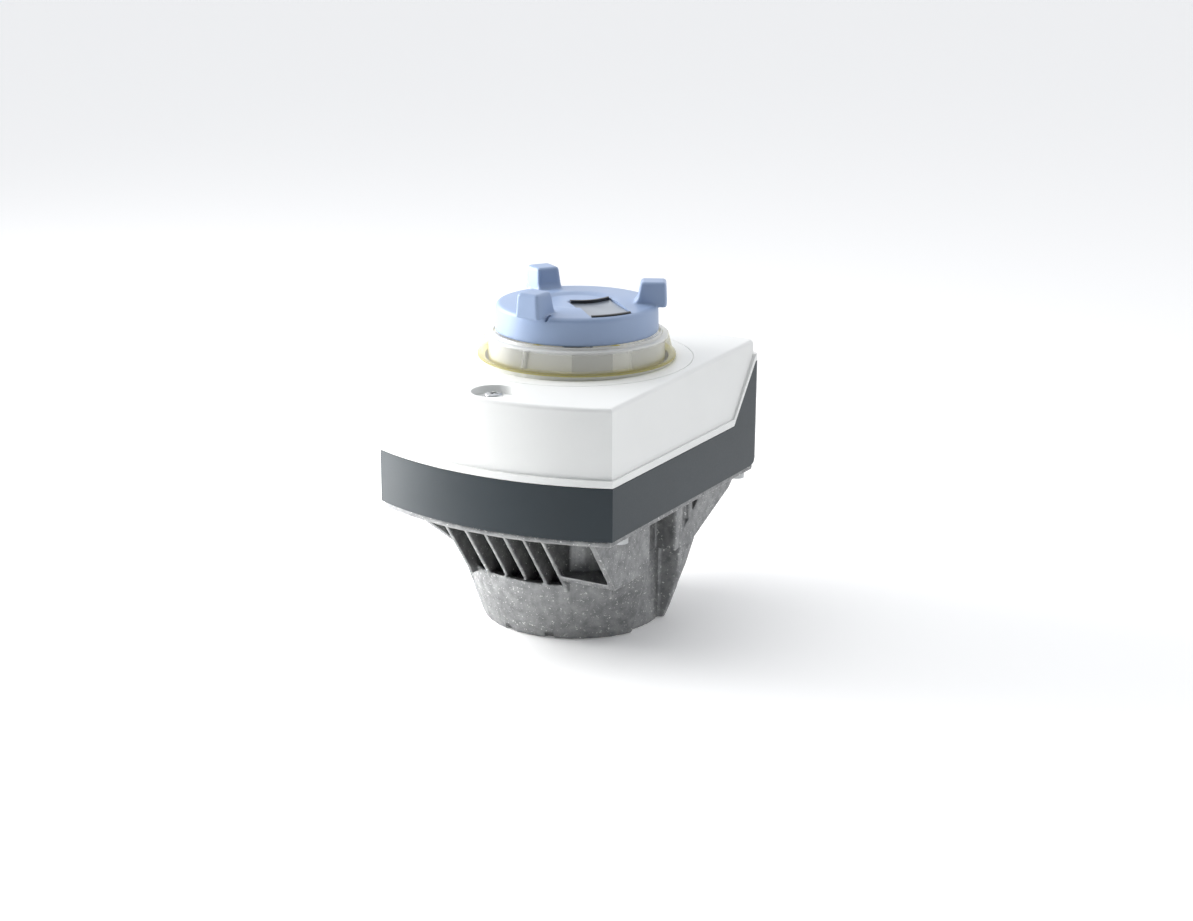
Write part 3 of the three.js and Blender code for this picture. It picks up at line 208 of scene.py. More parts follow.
# %% Soft panels
def soft_panel(name, azimuth, elevation, distance, size, power, face_floor=False):
    """A square soft light that faces the middle of the head, or the floor below it."""
    lamp = bpy.data.lights.new(name, "AREA")
    lamp.size = size
    lamp.energy = power
    turn, tilt = math.radians(azimuth), math.radians(elevation)
    away = Vector((
        math.cos(turn) * math.cos(tilt), math.sin(turn) * math.cos(tilt), math.sin(tilt)))
    holder = bpy.data.objects.new(name, lamp)
    holder.rotation_mode = "QUATERNION"
    if not face_floor:
        holder.rotation_quaternion = away.to_track_quat("Z", "Y")
    holder.location = TARGET + away * distance
    scene.collection.objects.link(holder)


soft_panel("left_panel", -165, 6, distance=1.0, size=0.6, power=7.0)
soft_panel("floor_panel", -165, 24, distance=0.42, size=0.3, power=4.0, face_floor=True)
soft_panel("right_panel", 10, 12, distance=1.3, size=0.6, power=1.5)
soft_panel("top_panel", -150, 75, distance=1.2, size=0.9, power=3.0)

# %% [markdown]
# ## Finishes: the moulded plastics
#
# The tray, the cover and the knob are injection moulded. A mould is spark-eroded, which leaves a
# skin of shallow grains about 0.2 mm wide. A grain that fine can't be seen from here, so it is
# drawn about three times coarser. Roughness and bump come from the same noise, so that light
# breaks up where the skin does.

# %% Moulded plastics
MELT_DRIFT = 28


def own_place(tree):
    """The point on the piece, in the piece's own directions."""
    return put(tree, "ShaderNodeTexCoord").outputs["Object"]


def per_mm(size):
    """The scale of a pattern whose marks are `size` millimetres wide."""
    return 1 / (size * MM)


def noise(tree, place, width, detail=2, roughness=0.5):
    """A noise whose marks are about `width` millimetres wide."""
    return put(
        tree, "ShaderNodeTexNoise",
        {"Scale": per_mm(width), "Detail": detail, "Roughness": roughness},
        {"Vector": place}).outputs["Fac"]


def ramp(tree, value, dark, light, start=0.0, end=1.0):
    """A colour that goes from dark to light as a value goes from start to end."""
    node = put(tree, "ShaderNodeValToRGB", links={"Fac": value})
    low, high = node.color_ramp.elements
    low.position, low.color = start, dark
    high.position, high.color = end, light
    return node.outputs["Color"]


def shaded(hex_colour, factor):
    """A colour made darker or lighter by a factor."""
    return (*(Vector(linear(hex_colour)[:3]) * factor), 1)


def bumps(tree, height, strength, depth, under=None):
    """Bumps `depth` millimetres deep, laid over other bumps where some are given."""
    links = {"Height": height}
    if under is not None:
        links["Normal"] = under
    return put(
        tree, "ShaderNodeBump", {"Strength": strength, "Distance": depth * MM},
        links).outputs["Normal"]


def feed(tree, shader, colour=None, rough=None, normal=None):
    """Links a pattern's colour, roughness and normal to the shader."""
    for socket, source in (("Base Color", colour), ("Roughness", rough), ("Normal", normal)):
        if source is not None:
            tree.links.new(source, shader.inputs[socket])


def moulded(name, hex_colour, roughness, ior, grain, depth, shade=0.06):
    """A moulded skin: grain in bump and roughness, and a slow drift of colour from the melt."""
    material, tree, shader = finish(name, hex_colour, roughness, ior=ior)
    place = own_place(tree)
    skin = noise(tree, place, grain, 3)
    drift = noise(tree, place, MELT_DRIFT)
    rough = span(tree, skin, first=roughness - 0.06, last=roughness + 0.08)
    colour = ramp(
        tree, drift, shaded(hex_colour, 1 - shade), shaded(hex_colour, 1 + shade), 0.3, 0.7)
    feed(tree, shader, colour, rough, bumps(tree, skin, 0.35, depth))
    return material


cover_abs = moulded("pale_grey_abs_moulded", "#EDEEEC", 0.42, 1.53, 0.6, 0.03, 0.012)
tray_nylon = moulded("blue_grey_glass_filled_nylon", "#16252D", 0.36, 1.53, 0.7, 0.04, 0.07)
knob_nylon = moulded("blue_nylon_moulded", "#94A8C8", 0.42, 1.53, 0.6, 0.03, 0.03)
drum_acetal = moulded("white_acetal_moulded", "#E9E9E5", 0.45, 1.48, 0.6, 0.02, 0.02)
index_acetal = moulded("yellow_acetal_moulded", "#D9CE3C", 0.45, 1.48, 0.6, 0.02, 0.03)
gear_acetal = moulded("natural_acetal_moulded", "#E4DFCE", 0.40, 1.48, 0.6, 0.02, 0.03)
switch_pbt = moulded("black_pbt_moulded", "#232527", 0.45, 1.57, 0.5, 0.03, 0.05)
seal_rubber = moulded("black_nitrile_rubber", "#1F2122", 0.75, 1.52, 0.9, 0.05, 0.05)
pale_silicone = moulded("pale_silicone_moulded", "#DCDCD6", 0.55, 1.41, 0.9, 0.03, 0.02)
board_resist = moulded("green_solder_resist_on_laminate", "#2D6B45", 0.35, 1.55, 1.4, 0.02, 0.08)
tray_shader = tray_nylon.node_tree.nodes["Principled BSDF"]
tray_shader.inputs["Specular IOR Level"].default_value = 0.4
print("materials so far:", len(bpy.data.materials))

# %% [markdown]
# ## Finish: cast aluminium
#
# The foot is a die casting left as it came out, with a matt grey skin, pits and bright specks of
# about a millimetre where the skin was rubbed. Its colour comes from two noises of different
# widths, one for the cloudy skin and one for the specks. Aluminium that is oxidised reflects
# about as much as mid grey, and its roughness is high. Sharp edges, found from the mesh's
# pointiness, take the speck colour too, which is a painted highlight along them.

# %% Cast aluminium
CLOUD_WIDTH, FLECK_WIDTH, PIT_WIDTH = 5, 1.3, 1.9
FLECK_FROM, FLECK_TO = 0.60, 0.68
EDGE_HIGHLIGHT_FROM, EDGE_HIGHLIGHT_TO = 0.53, 0.62


def combined(tree, operation, first, second):
    """One value worked out from two others."""
    return put(
        tree, "ShaderNodeMath", links={0: first, 1: second}, operation=operation).outputs[0]


def cast_skin(name, dark, light, speck_and_highlight):
    """An as-cast metal skin with clouds, bright specks and pits, and a painted highlight on sharp
    edges.
    """
    material, tree, shader = finish(name, light, 0.52, metallic=0.8)
    place = own_place(tree)
    cloud = noise(tree, place, CLOUD_WIDTH, 6, 0.62)
    fleck = noise(tree, place, FLECK_WIDTH, 4, 0.7)
    pits = put(
        tree, "ShaderNodeTexVoronoi", {"Scale": per_mm(PIT_WIDTH)},
        {"Vector": place}).outputs["Distance"]
    skin = ramp(tree, cloud, linear(dark), linear(light), 0.35, 0.68)
    rubbed = span(tree, fleck, FLECK_FROM, FLECK_TO)
    # Painted highlight: sharp edges, found from the pointiness, take the bright speck colour.
    sharpness = put(tree, "ShaderNodeNewGeometry").outputs["Pointiness"]
    edges = span(tree, sharpness, EDGE_HIGHLIGHT_FROM, EDGE_HIGHLIGHT_TO)
    wear_and_edge_highlight = combined(tree, "MAXIMUM", rubbed, edges)
    rough = span(tree, fleck, 0.3, 0.7, 0.42, 0.66)
    grain = bumps(tree, fleck, 0.55, 0.16)
    surface = bumps(tree, span(tree, pits, 0.0, 0.35), 0.3, 0.12, under=grain)
    feed(tree, shader, blend(tree, wear_and_edge_highlight, skin, speck_and_highlight), rough, surface)
    return material


foot_aluminium = cast_skin("aluminium_as_cast", "#7E7F80", "#9FA0A0", "#F4F4F2")
print("cast skin:", foot_aluminium.name)

# %% [markdown]
# ## Finishes: turned and plated metals
#
# Shafts, pins and screws are turned, then zinc plated. Turning leaves fine rings round the axis,
# about 0.1 mm apart. They are too fine to show, so the rings are drawn 0.5 mm apart. Gears and
# bushes share the same way of making and differ in colour and roughness.

# %% Turned metals
WAVE_BANDS = 20  # bands of the wave pattern in one unit of its scale


def turned_metal(name, hex_colour, roughness, ring):
    """A turned metal: bands across the axis in bump, with stains in colour and roughness."""
    material, tree, shader = finish(name, hex_colour, roughness, metallic=1.0)
    place = own_place(tree)
    rings = put(
        tree, "ShaderNodeTexWave",
        {"Scale": per_mm(ring) / WAVE_BANDS, "Distortion": 0.6, "Detail": 2},
        {"Vector": place}, bands_direction="Z").outputs["Fac"]
    stain = noise(tree, place, 5, 4)
    rough = span(tree, stain, first=roughness - 0.08, last=roughness + 0.1)
    colour = ramp(tree, stain, shaded(hex_colour, 0.82), shaded(hex_colour, 1.08))
    feed(tree, shader, colour, rough, bumps(tree, rings, 0.2, 0.03))
    return material


zinc_steel = turned_metal("zinc_plated_turned_steel", "#B9BBBC", 0.32, 0.5)
bush_bronze = turned_metal("sintered_bronze", "#B08D57", 0.42, 0.7)
motor_can = turned_metal("drawn_steel_can", "#8D9499", 0.38, 0.9)
print("metals:", [zinc_steel.name, bush_bronze.name, motor_can.name])

# %% [markdown]
# ## Finish: the clear collar
#
# The collar is clear polycarbonate. Solid glass with bent light would need many bounces to look
# bright, so the wall is made of a clear shader that turns glossy at a slant, as a thin wall
# does. The yellow index ring shows through the foot and the slanted edges; here it is a painted
# reflection, a yellow tint that follows the height and the slant. The rim and the foot are also
# made less clear, which paints a pale highlight on them.

# %% Polycarbonate
COVER_FALL = 1.4  # how far the cover's top falls from its rear edge to the collar
PAINTED_TINT_LOW, PAINTED_TINT_HIGH = 1.2, 3.0
PAINTED_RIM_LOW, PAINTED_RIM_HIGH = 1.6, 0.6
SLANT_FROM, SLANT_TO = 0.72, 0.97
GLOSS_FACING, GLOSS_EDGE, PAINTED_ENDS_STRENGTH = 0.13, 0.8, 0.6
collar_low, collar_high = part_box("window_ring")
seat_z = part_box("top_cover")[1].z - COVER_FALL * MM

collar_clear, tree, shader = finish("clear_polycarbonate_moulded", "#F4F4F1", 0.10, ior=1.585)
height = put(tree, "ShaderNodeSeparateXYZ", links={"Vector": own_place(tree)}).outputs["Z"]
# Painted reflection: the yellow index ring, seen through the foot and the slanted edges, is
# painted as a yellow tint.
painted_foot_share = span(tree, height, seat_z + PAINTED_TINT_LOW * MM, seat_z + PAINTED_TINT_HIGH * MM, 1.0, 0.0)
slant = put(tree, "ShaderNodeLayerWeight", {"Blend": 0.35})
painted_slant_share = span(tree, slant.outputs["Facing"], SLANT_FROM, SLANT_TO)
painted_ring_tint_share = combined(tree, "MAXIMUM", painted_foot_share, painted_slant_share)
painted_ring_tint = blend(tree, painted_ring_tint_share, "#F4F4F2", "#D9CF62")
clear = put(tree, "ShaderNodeBsdfTransparent", links={"Color": painted_ring_tint})
feed(tree, shader, painted_ring_tint)
gloss_share = span(tree, slant.outputs["Fresnel"], first=GLOSS_FACING, last=GLOSS_EDGE)
# Painted highlight: the rim and the foot are made less clear, so they show pale.
painted_rim_share = span(
    tree, height, collar_high.z - PAINTED_RIM_LOW * MM, collar_high.z - PAINTED_RIM_HIGH * MM)
painted_ends_share = combined(tree, "MAXIMUM", painted_foot_share, painted_rim_share)
painted_ends_opacity = put(
    tree, "ShaderNodeMath", {1: PAINTED_ENDS_STRENGTH}, {0: painted_ends_share}, operation="MULTIPLY").outputs[0]
wall_mix = put(
    tree, "ShaderNodeMixShader",
    links={0: combined(tree, "MAXIMUM", gloss_share, painted_ends_opacity),
           1: clear.outputs["BSDF"], 2: shader.outputs["BSDF"]})
tree.links.new(wall_mix.outputs[0], tree.nodes["Material Output"].inputs["Surface"])
print("clear:", collar_clear.name)

# %% [markdown]
# ## Finish: the window film
#
# The knob's window is a polyester film with a silver back, which shows soft grey tones and fine
# unevenness where it is glued down. A mirror would look too clean, so a wide noise carries the
# tones and a fine one the bumps.

# %% Window film
film_silver, tree, shader = finish("silver_backed_polyester_film", "#B9C1CA", 0.30, 0.35, 1.58)
place = own_place(tree)
tones = ramp(tree, noise(tree, place, 14, 1), linear("#6F7884"), linear("#98A1AC"))
feed(tree, shader, tones, normal=bumps(tree, noise(tree, place, 0.8), 0.1, 0.02))
print("film:", film_silver.name)

# %% [markdown]
# ## Finish: the printed drum
#
# The drum is white with a grey field printed on it. The field lies between two angles about the
# drive axis, so a node works out the angle of each point and a narrow ramp blends at the edges.
# Light comes in through the clear collar from all sides and soaks into the translucent drum,
# The drum glows faintly, which is painted light: it stands for light that comes in through the
# clear collar from all sides and soaks into the translucent drum.

# %% Printed drum
FIELD_FROM, FIELD_TO, FIELD_BLUR, DRUM_PAINTED_LIGHT = -63.0, -36.5, 0.6, 0.28
drum_print = moulded("white_acetal_with_printed_field", "#EDEDEA", 0.42, 1.48, 0.6, 0.02, 0.02)
tree = drum_print.node_tree
shader = tree.nodes["Principled BSDF"]
white = shader.inputs["Base Color"].links[0].from_socket
xyz = put(tree, "ShaderNodeSeparateXYZ", links={"Vector": own_place(tree)})
angle = combined(tree, "ARCTAN2", xyz.outputs["Y"], xyz.outputs["X"])
after = span(tree, angle, math.radians(FIELD_FROM - FIELD_BLUR), math.radians(FIELD_FROM))
before = span(tree, angle, math.radians(FIELD_TO + FIELD_BLUR), math.radians(FIELD_TO))
feed(tree, shader, blend(tree, combined(tree, "MULTIPLY", after, before), white, "#9A9B98"))
# Painted light: the drum's own glow brightens it behind the collar and under the knob.
shader.inputs["Emission Color"].default_value = linear("#EDEDEA")
shader.inputs["Emission Strength"].default_value = DRUM_PAINTED_LIGHT
print("printed:", drum_print.name)

# %% [markdown]
# ## Every hidden piece gets its finish
#
# The gears, motor and board inside could be modelled again, but they keep their CAD shapes,
# which are right, and take the finish of their material slot.

# %% Finishes for the CAD nodes
slot_finish = {
    "cast_aluminium": foot_aluminium,
    "dark_plastic": tray_nylon,
    "pale_plastic": cover_abs,
    "blue_plastic": knob_nylon,
    "silver_foil": film_silver,
    "drum_plastic": drum_acetal,
    "yellow_plastic": index_acetal,
    "clear_plastic": collar_clear,
    "steel": zinc_steel,
    "bronze": bush_bronze,
    "rubber": seal_rubber,
    "pale_silicone": pale_silicone,
    "gear_plastic": gear_acetal,
    "board_laminate": board_resist,
    "black_plastic": switch_pbt,
    "motor_case": motor_can,
}
for part in frame["record"]["subparts"]:
    data = nodes[part["node"]].data
    data.materials.clear()
    data.materials.append(slot_finish[part["material_slot"]])

# %% [markdown]
# ## The casting
#
# The real foot is one casting: a drum that widens upwards, open cooling slots between six fins in
# front, and side walls that flare out to a top plate. Molten metal never fills a sharp corner,
# so every edge is a small round. Bevels on a shape with this many crossings fail, so a copy of
# the CAD solid is remeshed in 0.6 mm voxels and smoothed, which rounds all edges at once.

# %% Copy and round the casting
MERGE, FLAT_DEGREES = 0.002, 0.4
CAST_VOXEL = 0.6


def new_piece(name, build):
    """An object whose mesh is what the finished bmesh `build` holds."""
    mesh = bpy.data.meshes.new(name)
    build.to_mesh(mesh)
    build.free()
    if "custom_normal" in mesh.attributes:
        mesh.attributes.remove(mesh.attributes["custom_normal"])
    piece = bpy.data.objects.new(name, mesh)
    scene.collection.objects.link(piece)
    return piece


def copied(name, node_name):
    """A clean copy of a CAD solid: merged corners and whole flat faces."""
    build = bmesh.new()
    build.from_mesh(nodes[node_name].data)
    bmesh.ops.remove_doubles(build, verts=build.verts, dist=MERGE * MM)
    bmesh.ops.dissolve_limit(
        build, angle_limit=math.radians(FLAT_DEGREES), verts=build.verts, edges=build.edges)
    return new_piece(name, build)


def modify(piece, kind, **settings):
    """Adds a modifier to a piece."""
    modifier = piece.modifiers.new(kind.lower(), kind)
    for key, value in settings.items():
        setattr(modifier, key, value)


def settle(piece):
    """Turns a piece's modifiers into its mesh."""
    bpy.context.view_layer.update()
    evaluated = piece.evaluated_get(bpy.context.evaluated_depsgraph_get())
    mesh = bpy.data.meshes.new_from_object(evaluated)
    piece.modifiers.clear()
    piece.data = mesh


def soft_skin(piece, voxel, passes):
    """Remeshes a piece in voxels of a size in millimetres, then smooths its edges."""
    modify(piece, "REMESH", mode="VOXEL", voxel_size=voxel * MM, use_smooth_shade=True)
    modify(piece, "SMOOTH", factor=0.5, iterations=passes)
    settle(piece)


casting = copied("foot_casting", "mounting_casting")
soft_skin(casting, CAST_VOXEL, 4)
print("casting faces:", len(casting.data.polygons))

# %% [markdown]
# The drum's flat facets are pushed out to the true round, which could also be turned as a new
# solid, but then all the crossings with the walls would have to be cut again. A shallow cloud
# pattern gives the skin its unevenness, and is trimmed where it would leave the CAD box.

# %% True round and cast grain
DRUM_STEPS = 42
DRUM_HEIGHTS = (0, 10, 20, 29.5, 40, 62.5)
DRUM_FOOT, DRUM_TOP, DRUM_STRAIGHT = 45.0, 53.0, 40.0
FACET_REACH = 0.45
GRAIN_WIDTH, GRAIN_DEPTH = 2.4, 0.12


def drum_radius(z):
    """The drum's true radius at a height, in millimetres."""
    below = np.clip(1 - z / DRUM_STRAIGHT, 0, None)
    return DRUM_FOOT + (DRUM_TOP - DRUM_FOOT) * (1 - below * below)


def round_drum(piece):
    """Moves the vertices on the drum's facets out to the true round."""
    mesh = piece.data
    points = np.empty(len(mesh.vertices) * 3)
    mesh.vertices.foreach_get("co", points)
    points = points.reshape(-1, 3) / MM
    radius = np.hypot(points[:, 0], points[:, 1])
    step = 2 * math.pi / DRUM_STEPS
    turn = np.arctan2(points[:, 1], points[:, 0])
    share = math.cos(step / 2) / np.cos(np.mod(turn, step) - step / 2)
    heights = np.array(DRUM_HEIGHTS, float)
    straight = np.interp(points[:, 2], heights, drum_radius(heights))
    on_drum = np.abs(radius - straight * share) < FACET_REACH
    grow = np.where(on_drum, drum_radius(points[:, 2]) / (straight * share), 1.0)
    points[:, :2] *= grow[:, None]
    mesh.vertices.foreach_set("co", (points * MM).ravel())
    mesh.update()
    return int(on_drum.sum())


def keep_inside(piece, node):
    """Trims a piece's surface grain back to the box of the solid it stands for."""
    low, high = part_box(node)
    for vertex in piece.data.vertices:
        vertex.co = [min(max(at, least), most) for at, least, most in zip(vertex.co, low, high)]


def fit_out(piece, material, body, slot, *replaced):
    """Gives a piece its finish and its body, and hides the CAD nodes that it stands for. The slot
    is not used.
    """
    piece.data.materials.clear()
    piece.data.materials.append(material)
    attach(piece, body)
    if replaced:
        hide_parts(*replaced)
    print(piece.name, "faces:", len(piece.data.polygons))


print("rounded drum points:", round_drum(casting))
cast_grain = bpy.data.textures.new("cast_grain", "CLOUDS")
cast_grain.noise_scale = GRAIN_WIDTH * MM
modify(casting, "DISPLACE", texture=cast_grain, strength=GRAIN_DEPTH * MM, mid_level=0.5)
settle(casting)
casting.data.shade_smooth()
keep_inside(casting, "mounting_casting")
fit_out(casting, foot_aluminium, "housing", "cast_aluminium", "mounting_casting")

# %% [markdown]
# ## The tray
#
# The dark tray is a moulded box with a bowed front, which rises at the rear to carry the cable
# entries. It could be remeshed like the casting, but its walls are flat, so a bevel gives its
# edges the 0.5 mm round of the mould and leaves the walls crisp.

# %% Tray
TRAY_EDGE = 0.45


def smooth_faces(piece, degrees=32):
    """Smooth shading, with edges sharper than the given angle kept crisp."""
    piece.data.shade_smooth()
    build = bmesh.new()
    build.from_mesh(piece.data)
    for edge in build.edges:
        edge.smooth = edge.calc_face_angle(0) < math.radians(degrees)
    build.to_mesh(piece.data)
    build.free()


def round_shell(piece, width, degrees):
    """Rounds a moulded shell's edges and keeps its flat walls evenly lit."""
    modify(piece, "BEVEL", width=width * MM, segments=2, limit_method="ANGLE",
           angle_limit=math.radians(degrees), harden_normals=True, use_clamp_overlap=True)
    settle(piece)
    smooth_faces(piece)
    modify(piece, "WEIGHTED_NORMAL", keep_sharp=True)


tray = copied("gear_tray", "base_housing")
round_shell(tray, TRAY_EDGE, 30)
fit_out(tray, tray_nylon, "housing", "dark_plastic", "base_housing")

# %% [markdown]
# ## The cover
#
# The cover is a pale moulded shell, drawn in a little towards the top, with a lip along the seam
# and a round pocket for its screw. A thin ring is let into its top round the collar, where the
# mould's insert ends. It could be drawn with a bump, but a ring cut with a narrow turned tool
# catches the light at any angle.

# %% Cover
INSERT_RADIUS, INSERT_WIDTH, INSERT_DEPTH = 55.6, 0.5, 0.45
TOP_AT_AXIS, TOP_SLOPE = 127.0, 0.018
COVER_EDGE = 0.35
TOOL_CLEAR = 2


def turned(name, profile, steps=160):
    """A solid turned about the drive axis from (radius, z) points in millimetres."""
    build = bmesh.new()
    rings = []
    for i in range(steps):
        turn = 2 * math.pi * i / steps
        rings.append([
            build.verts.new((r * math.cos(turn) * MM, r * math.sin(turn) * MM, z * MM))
            for r, z in profile])
    count = len(profile)
    for i, ring in enumerate(rings):
        other = rings[(i + 1) % steps]
        for j in range(count):
            k = (j + 1) % count
            build.faces.new((ring[j], other[j], other[k], ring[k]))
    bmesh.ops.recalc_face_normals(build, faces=build.faces)
    return new_piece(name, build)


def cut(piece, tool):
    """Cuts a tool out of a piece and throws the tool away."""
    modify(piece, "BOOLEAN", object=tool, operation="DIFFERENCE", solver="EXACT")
    settle(piece)
    bpy.data.objects.remove(tool)


def follow_top(piece):
    """Tilts a piece as the cover's top, which falls a little to the front."""
    for vertex in piece.data.vertices:
        vertex.co.z += vertex.co.y * TOP_SLOPE


cover = copied("cover_shell", "top_cover")
groove = turned("insert_groove", [
    (INSERT_RADIUS - INSERT_WIDTH / 2, TOP_AT_AXIS - INSERT_DEPTH),
    (INSERT_RADIUS + INSERT_WIDTH / 2, TOP_AT_AXIS - INSERT_DEPTH),
    (INSERT_RADIUS + INSERT_WIDTH / 2, TOP_AT_AXIS + TOOL_CLEAR),
    (INSERT_RADIUS - INSERT_WIDTH / 2, TOP_AT_AXIS + TOOL_CLEAR),
], 120)
follow_top(groove)
cut(cover, groove)
round_shell(cover, COVER_EDGE, 35)
fit_out(cover, cover_abs, "housing", "pale_plastic", "top_cover")

# %% [markdown]
# ## The hand knob
#
# The knob is a shallow moulded cap with three lobes for the fingers. The cap is round, so it is
# turned from a profile: hub, hollow underside, rounded rim, slightly raised crown and a dish in
# the middle. A copy of the CAD solid would show its facets on the rim.

# %% Cap
knob_low, knob_high = (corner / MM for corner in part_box("manual_knob"))
KNOB_RADIUS, KNOB_HEIGHT, CROWN = 38.9, 13.1, 1.1
RIM_ROUND, RIM_DRAFT, FOOT_ROUND, SKIRT = 2.2, 0.3, 0.5, 3.0
HUB_RADIUS, HUB_DROP, SHAFT_BORE, CAP_DEPTH = 9.0, 1.1, 4.05, 6
CROWN_RISE = ((30, 0.35), (25, 0.75))
DISH_RADIUS, DISH_DEPTH, DISH_SLOPE, DISH_LIP = 19.0, 1.2, 4, 1.5
LIP_UNDER_CROWN, LIP_FALL = 0.1, 0.35
hub_foot = knob_low.z
knob_foot = hub_foot + HUB_DROP
knob_edge = knob_foot + KNOB_HEIGHT
knob_crown = knob_edge + CROWN
ceiling = knob_crown - CAP_DEPTH


def rounded(centre_r, centre_z, radius, first, last, steps=6):
    """Profile points on a quarter round."""
    turns = [math.radians(first + (last - first) * i / steps) for i in range(steps + 1)]
    return [(centre_r + radius * math.cos(t), centre_z + radius * math.sin(t)) for t in turns]


knob = turned("hand_knob", [
    (SHAFT_BORE, hub_foot),
    (HUB_RADIUS, hub_foot),
    (HUB_RADIUS, ceiling),
    (KNOB_RADIUS - SKIRT, ceiling),
    (KNOB_RADIUS - SKIRT, knob_foot),
    *rounded(KNOB_RADIUS - FOOT_ROUND, knob_foot + FOOT_ROUND, FOOT_ROUND, -90, 0, 3),
    *rounded(KNOB_RADIUS - RIM_DRAFT - RIM_ROUND, knob_edge - RIM_ROUND, RIM_ROUND, 0, 84),
    *((r, knob_edge + rise) for r, rise in CROWN_RISE),
    (DISH_RADIUS + DISH_LIP, knob_crown - LIP_UNDER_CROWN),
    (DISH_RADIUS, knob_crown - LIP_UNDER_CROWN),
    (DISH_RADIUS - DISH_LIP, knob_crown - LIP_FALL),
    (DISH_RADIUS - DISH_SLOPE, knob_crown - DISH_DEPTH),
    (SHAFT_BORE, knob_crown - DISH_DEPTH),
])
print("cap faces:", len(knob.data.polygons))

# %% [markdown]
# Each lobe is a block that narrows towards its top, with rounded edges. Drawn by hand, each would
# need its own blend into the cap. Remeshing the cap and the lobes together into one skin and then
# smoothing it makes the same soft fillets that the mould has.

# %% Lobes
LOBES = (27, 147, 267)
LOBE_FOOT_WIDTH, LOBE_TOP_WIDTH = 13.2, 11.4
LOBE_OUTER, LOBE_INNER_TOP, LOBE_ROOT, LOBE_EDGE = 42.7, 30.2, 27.5, 1.3
LOBE_SINK, LOBE_DRAFT, HEEL = 1.2, 0.6, 1.6
KNOB_VOXEL = 0.45
lobe_under = knob_edge - LOBE_SINK
lobe_top = knob_high.z
lobe_side = [
    (LOBE_ROOT - 1.5, knob_crown - HEEL),
    (LOBE_ROOT + 2, lobe_under),
    (LOBE_OUTER, lobe_under),
    (LOBE_OUTER - LOBE_DRAFT, lobe_top),
    (LOBE_INNER_TOP, lobe_top),
    (LOBE_ROOT + 1.2, knob_crown + HEEL),
]


def lobe(turn):
    """One lobe: its side outline, narrowed towards its top, at an angle round the knob."""
    build = bmesh.new()
    sides = []
    for sign in (-1, 1):
        corners = []
        for r, z in lobe_side:
            climb = max(0, (z - lobe_under) / (lobe_top - lobe_under))
            width = LOBE_FOOT_WIDTH + (LOBE_TOP_WIDTH - LOBE_FOOT_WIDTH) * climb
            corners.append(build.verts.new(Vector((r, sign * width / 2, z)) * MM))
        sides.append(corners)
    low, high = sides
    build.faces.new(low)
    build.faces.new(high)
    for i in range(len(low)):
        j = (i + 1) % len(low)
        build.faces.new((low[i], low[j], high[j], high[i]))
    bmesh.ops.recalc_face_normals(build, faces=build.faces)
    bmesh.ops.bevel(
        build, geom=list(build.edges), offset=LOBE_EDGE * MM, offset_type="OFFSET", segments=3,
        profile=0.5, affect="EDGES", clamp_overlap=True)
    bmesh.ops.rotate(build, verts=build.verts, matrix=Matrix.Rotation(math.radians(turn), 3, "Z"))
    return new_piece(f"lobe_{turn}", build)


def join(piece, others):
    """Puts the meshes of other pieces into one piece."""
    build = bmesh.new()
    for part in [piece, *others]:
        build.from_mesh(part.data)
    build.to_mesh(piece.data)
    build.free()
    for part in others:
        bpy.data.objects.remove(part)


join(knob, [lobe(turn) for turn in LOBES])
soft_skin(knob, KNOB_VOXEL, 7)
print("knob faces:", len(knob.data.polygons))

# %% [markdown]
# A narrow slot lies at the foot of each lobe, where the mould's slide shuts off. It has crisp
# edges, so it is cut after the smoothing.

# %% Slots
SLOT_WIDTH, SLOT_DEPTH, SLOT_INNER, SLOT_GAP = 1.3, 2.2, 33.5, 0.3
CUT_CLEAR = 4


def prism(name, outline, low, high, turn=0.0):
    """A closed block from an outline of (x, y) points in millimetres, between two heights."""
    build = bmesh.new()
    spin = Matrix.Rotation(math.radians(turn), 3, "Z")
    foot = [build.verts.new(spin @ Vector((x, y, low)) * MM) for x, y in outline]
    head = [build.verts.new(spin @ Vector((x, y, high)) * MM) for x, y in outline]
    build.faces.new(foot)
    build.faces.new(head)
    for i in range(len(outline)):
        j = (i + 1) % len(outline)
        build.faces.new((foot[i], foot[j], head[j], head[i]))
    bmesh.ops.recalc_face_normals(build, faces=build.faces)
    return new_piece(name, build)


near = LOBE_FOOT_WIDTH / 2 + SLOT_GAP
slot_outline = [(SLOT_INNER, near), (LOBE_OUTER, near),
                (LOBE_OUTER, near + SLOT_WIDTH), (SLOT_INNER, near + SLOT_WIDTH)]
for turn in LOBES:
    tool = prism(
        f"slot_{turn}", slot_outline, knob_edge - SLOT_DEPTH, knob_edge + CUT_CLEAR, turn)
    cut(knob, tool)
print("slots:", len(LOBES))

# %% [markdown]
# ## The knob's window
#
# The window is a recess in the knob's top, bowed at its inner end and round at its rim end. It
# could be drawn on the skin as a colour, but a real recess gives it an edge that shades.

# %% Window recess
WINDOW_TURN, WINDOW_LOW, WINDOW_HIGH = -42.5, -4.4, 16.6
WINDOW_INNER, WINDOW_BOW, WINDOW_SKEW = 0.5, 3.4, 2.8
WINDOW_OUTER, WINDOW_DEPTH = 36.3, 1.3


def window_end(outer, low, high, steps=16):
    """Points on the rim-side end of the window, a round about the drive axis."""
    first, last = math.asin(low / outer), math.asin(high / outer)
    turns = [first + (last - first) * i / steps for i in range(steps + 1)]
    return [(outer * math.cos(t), outer * math.sin(t)) for t in turns]


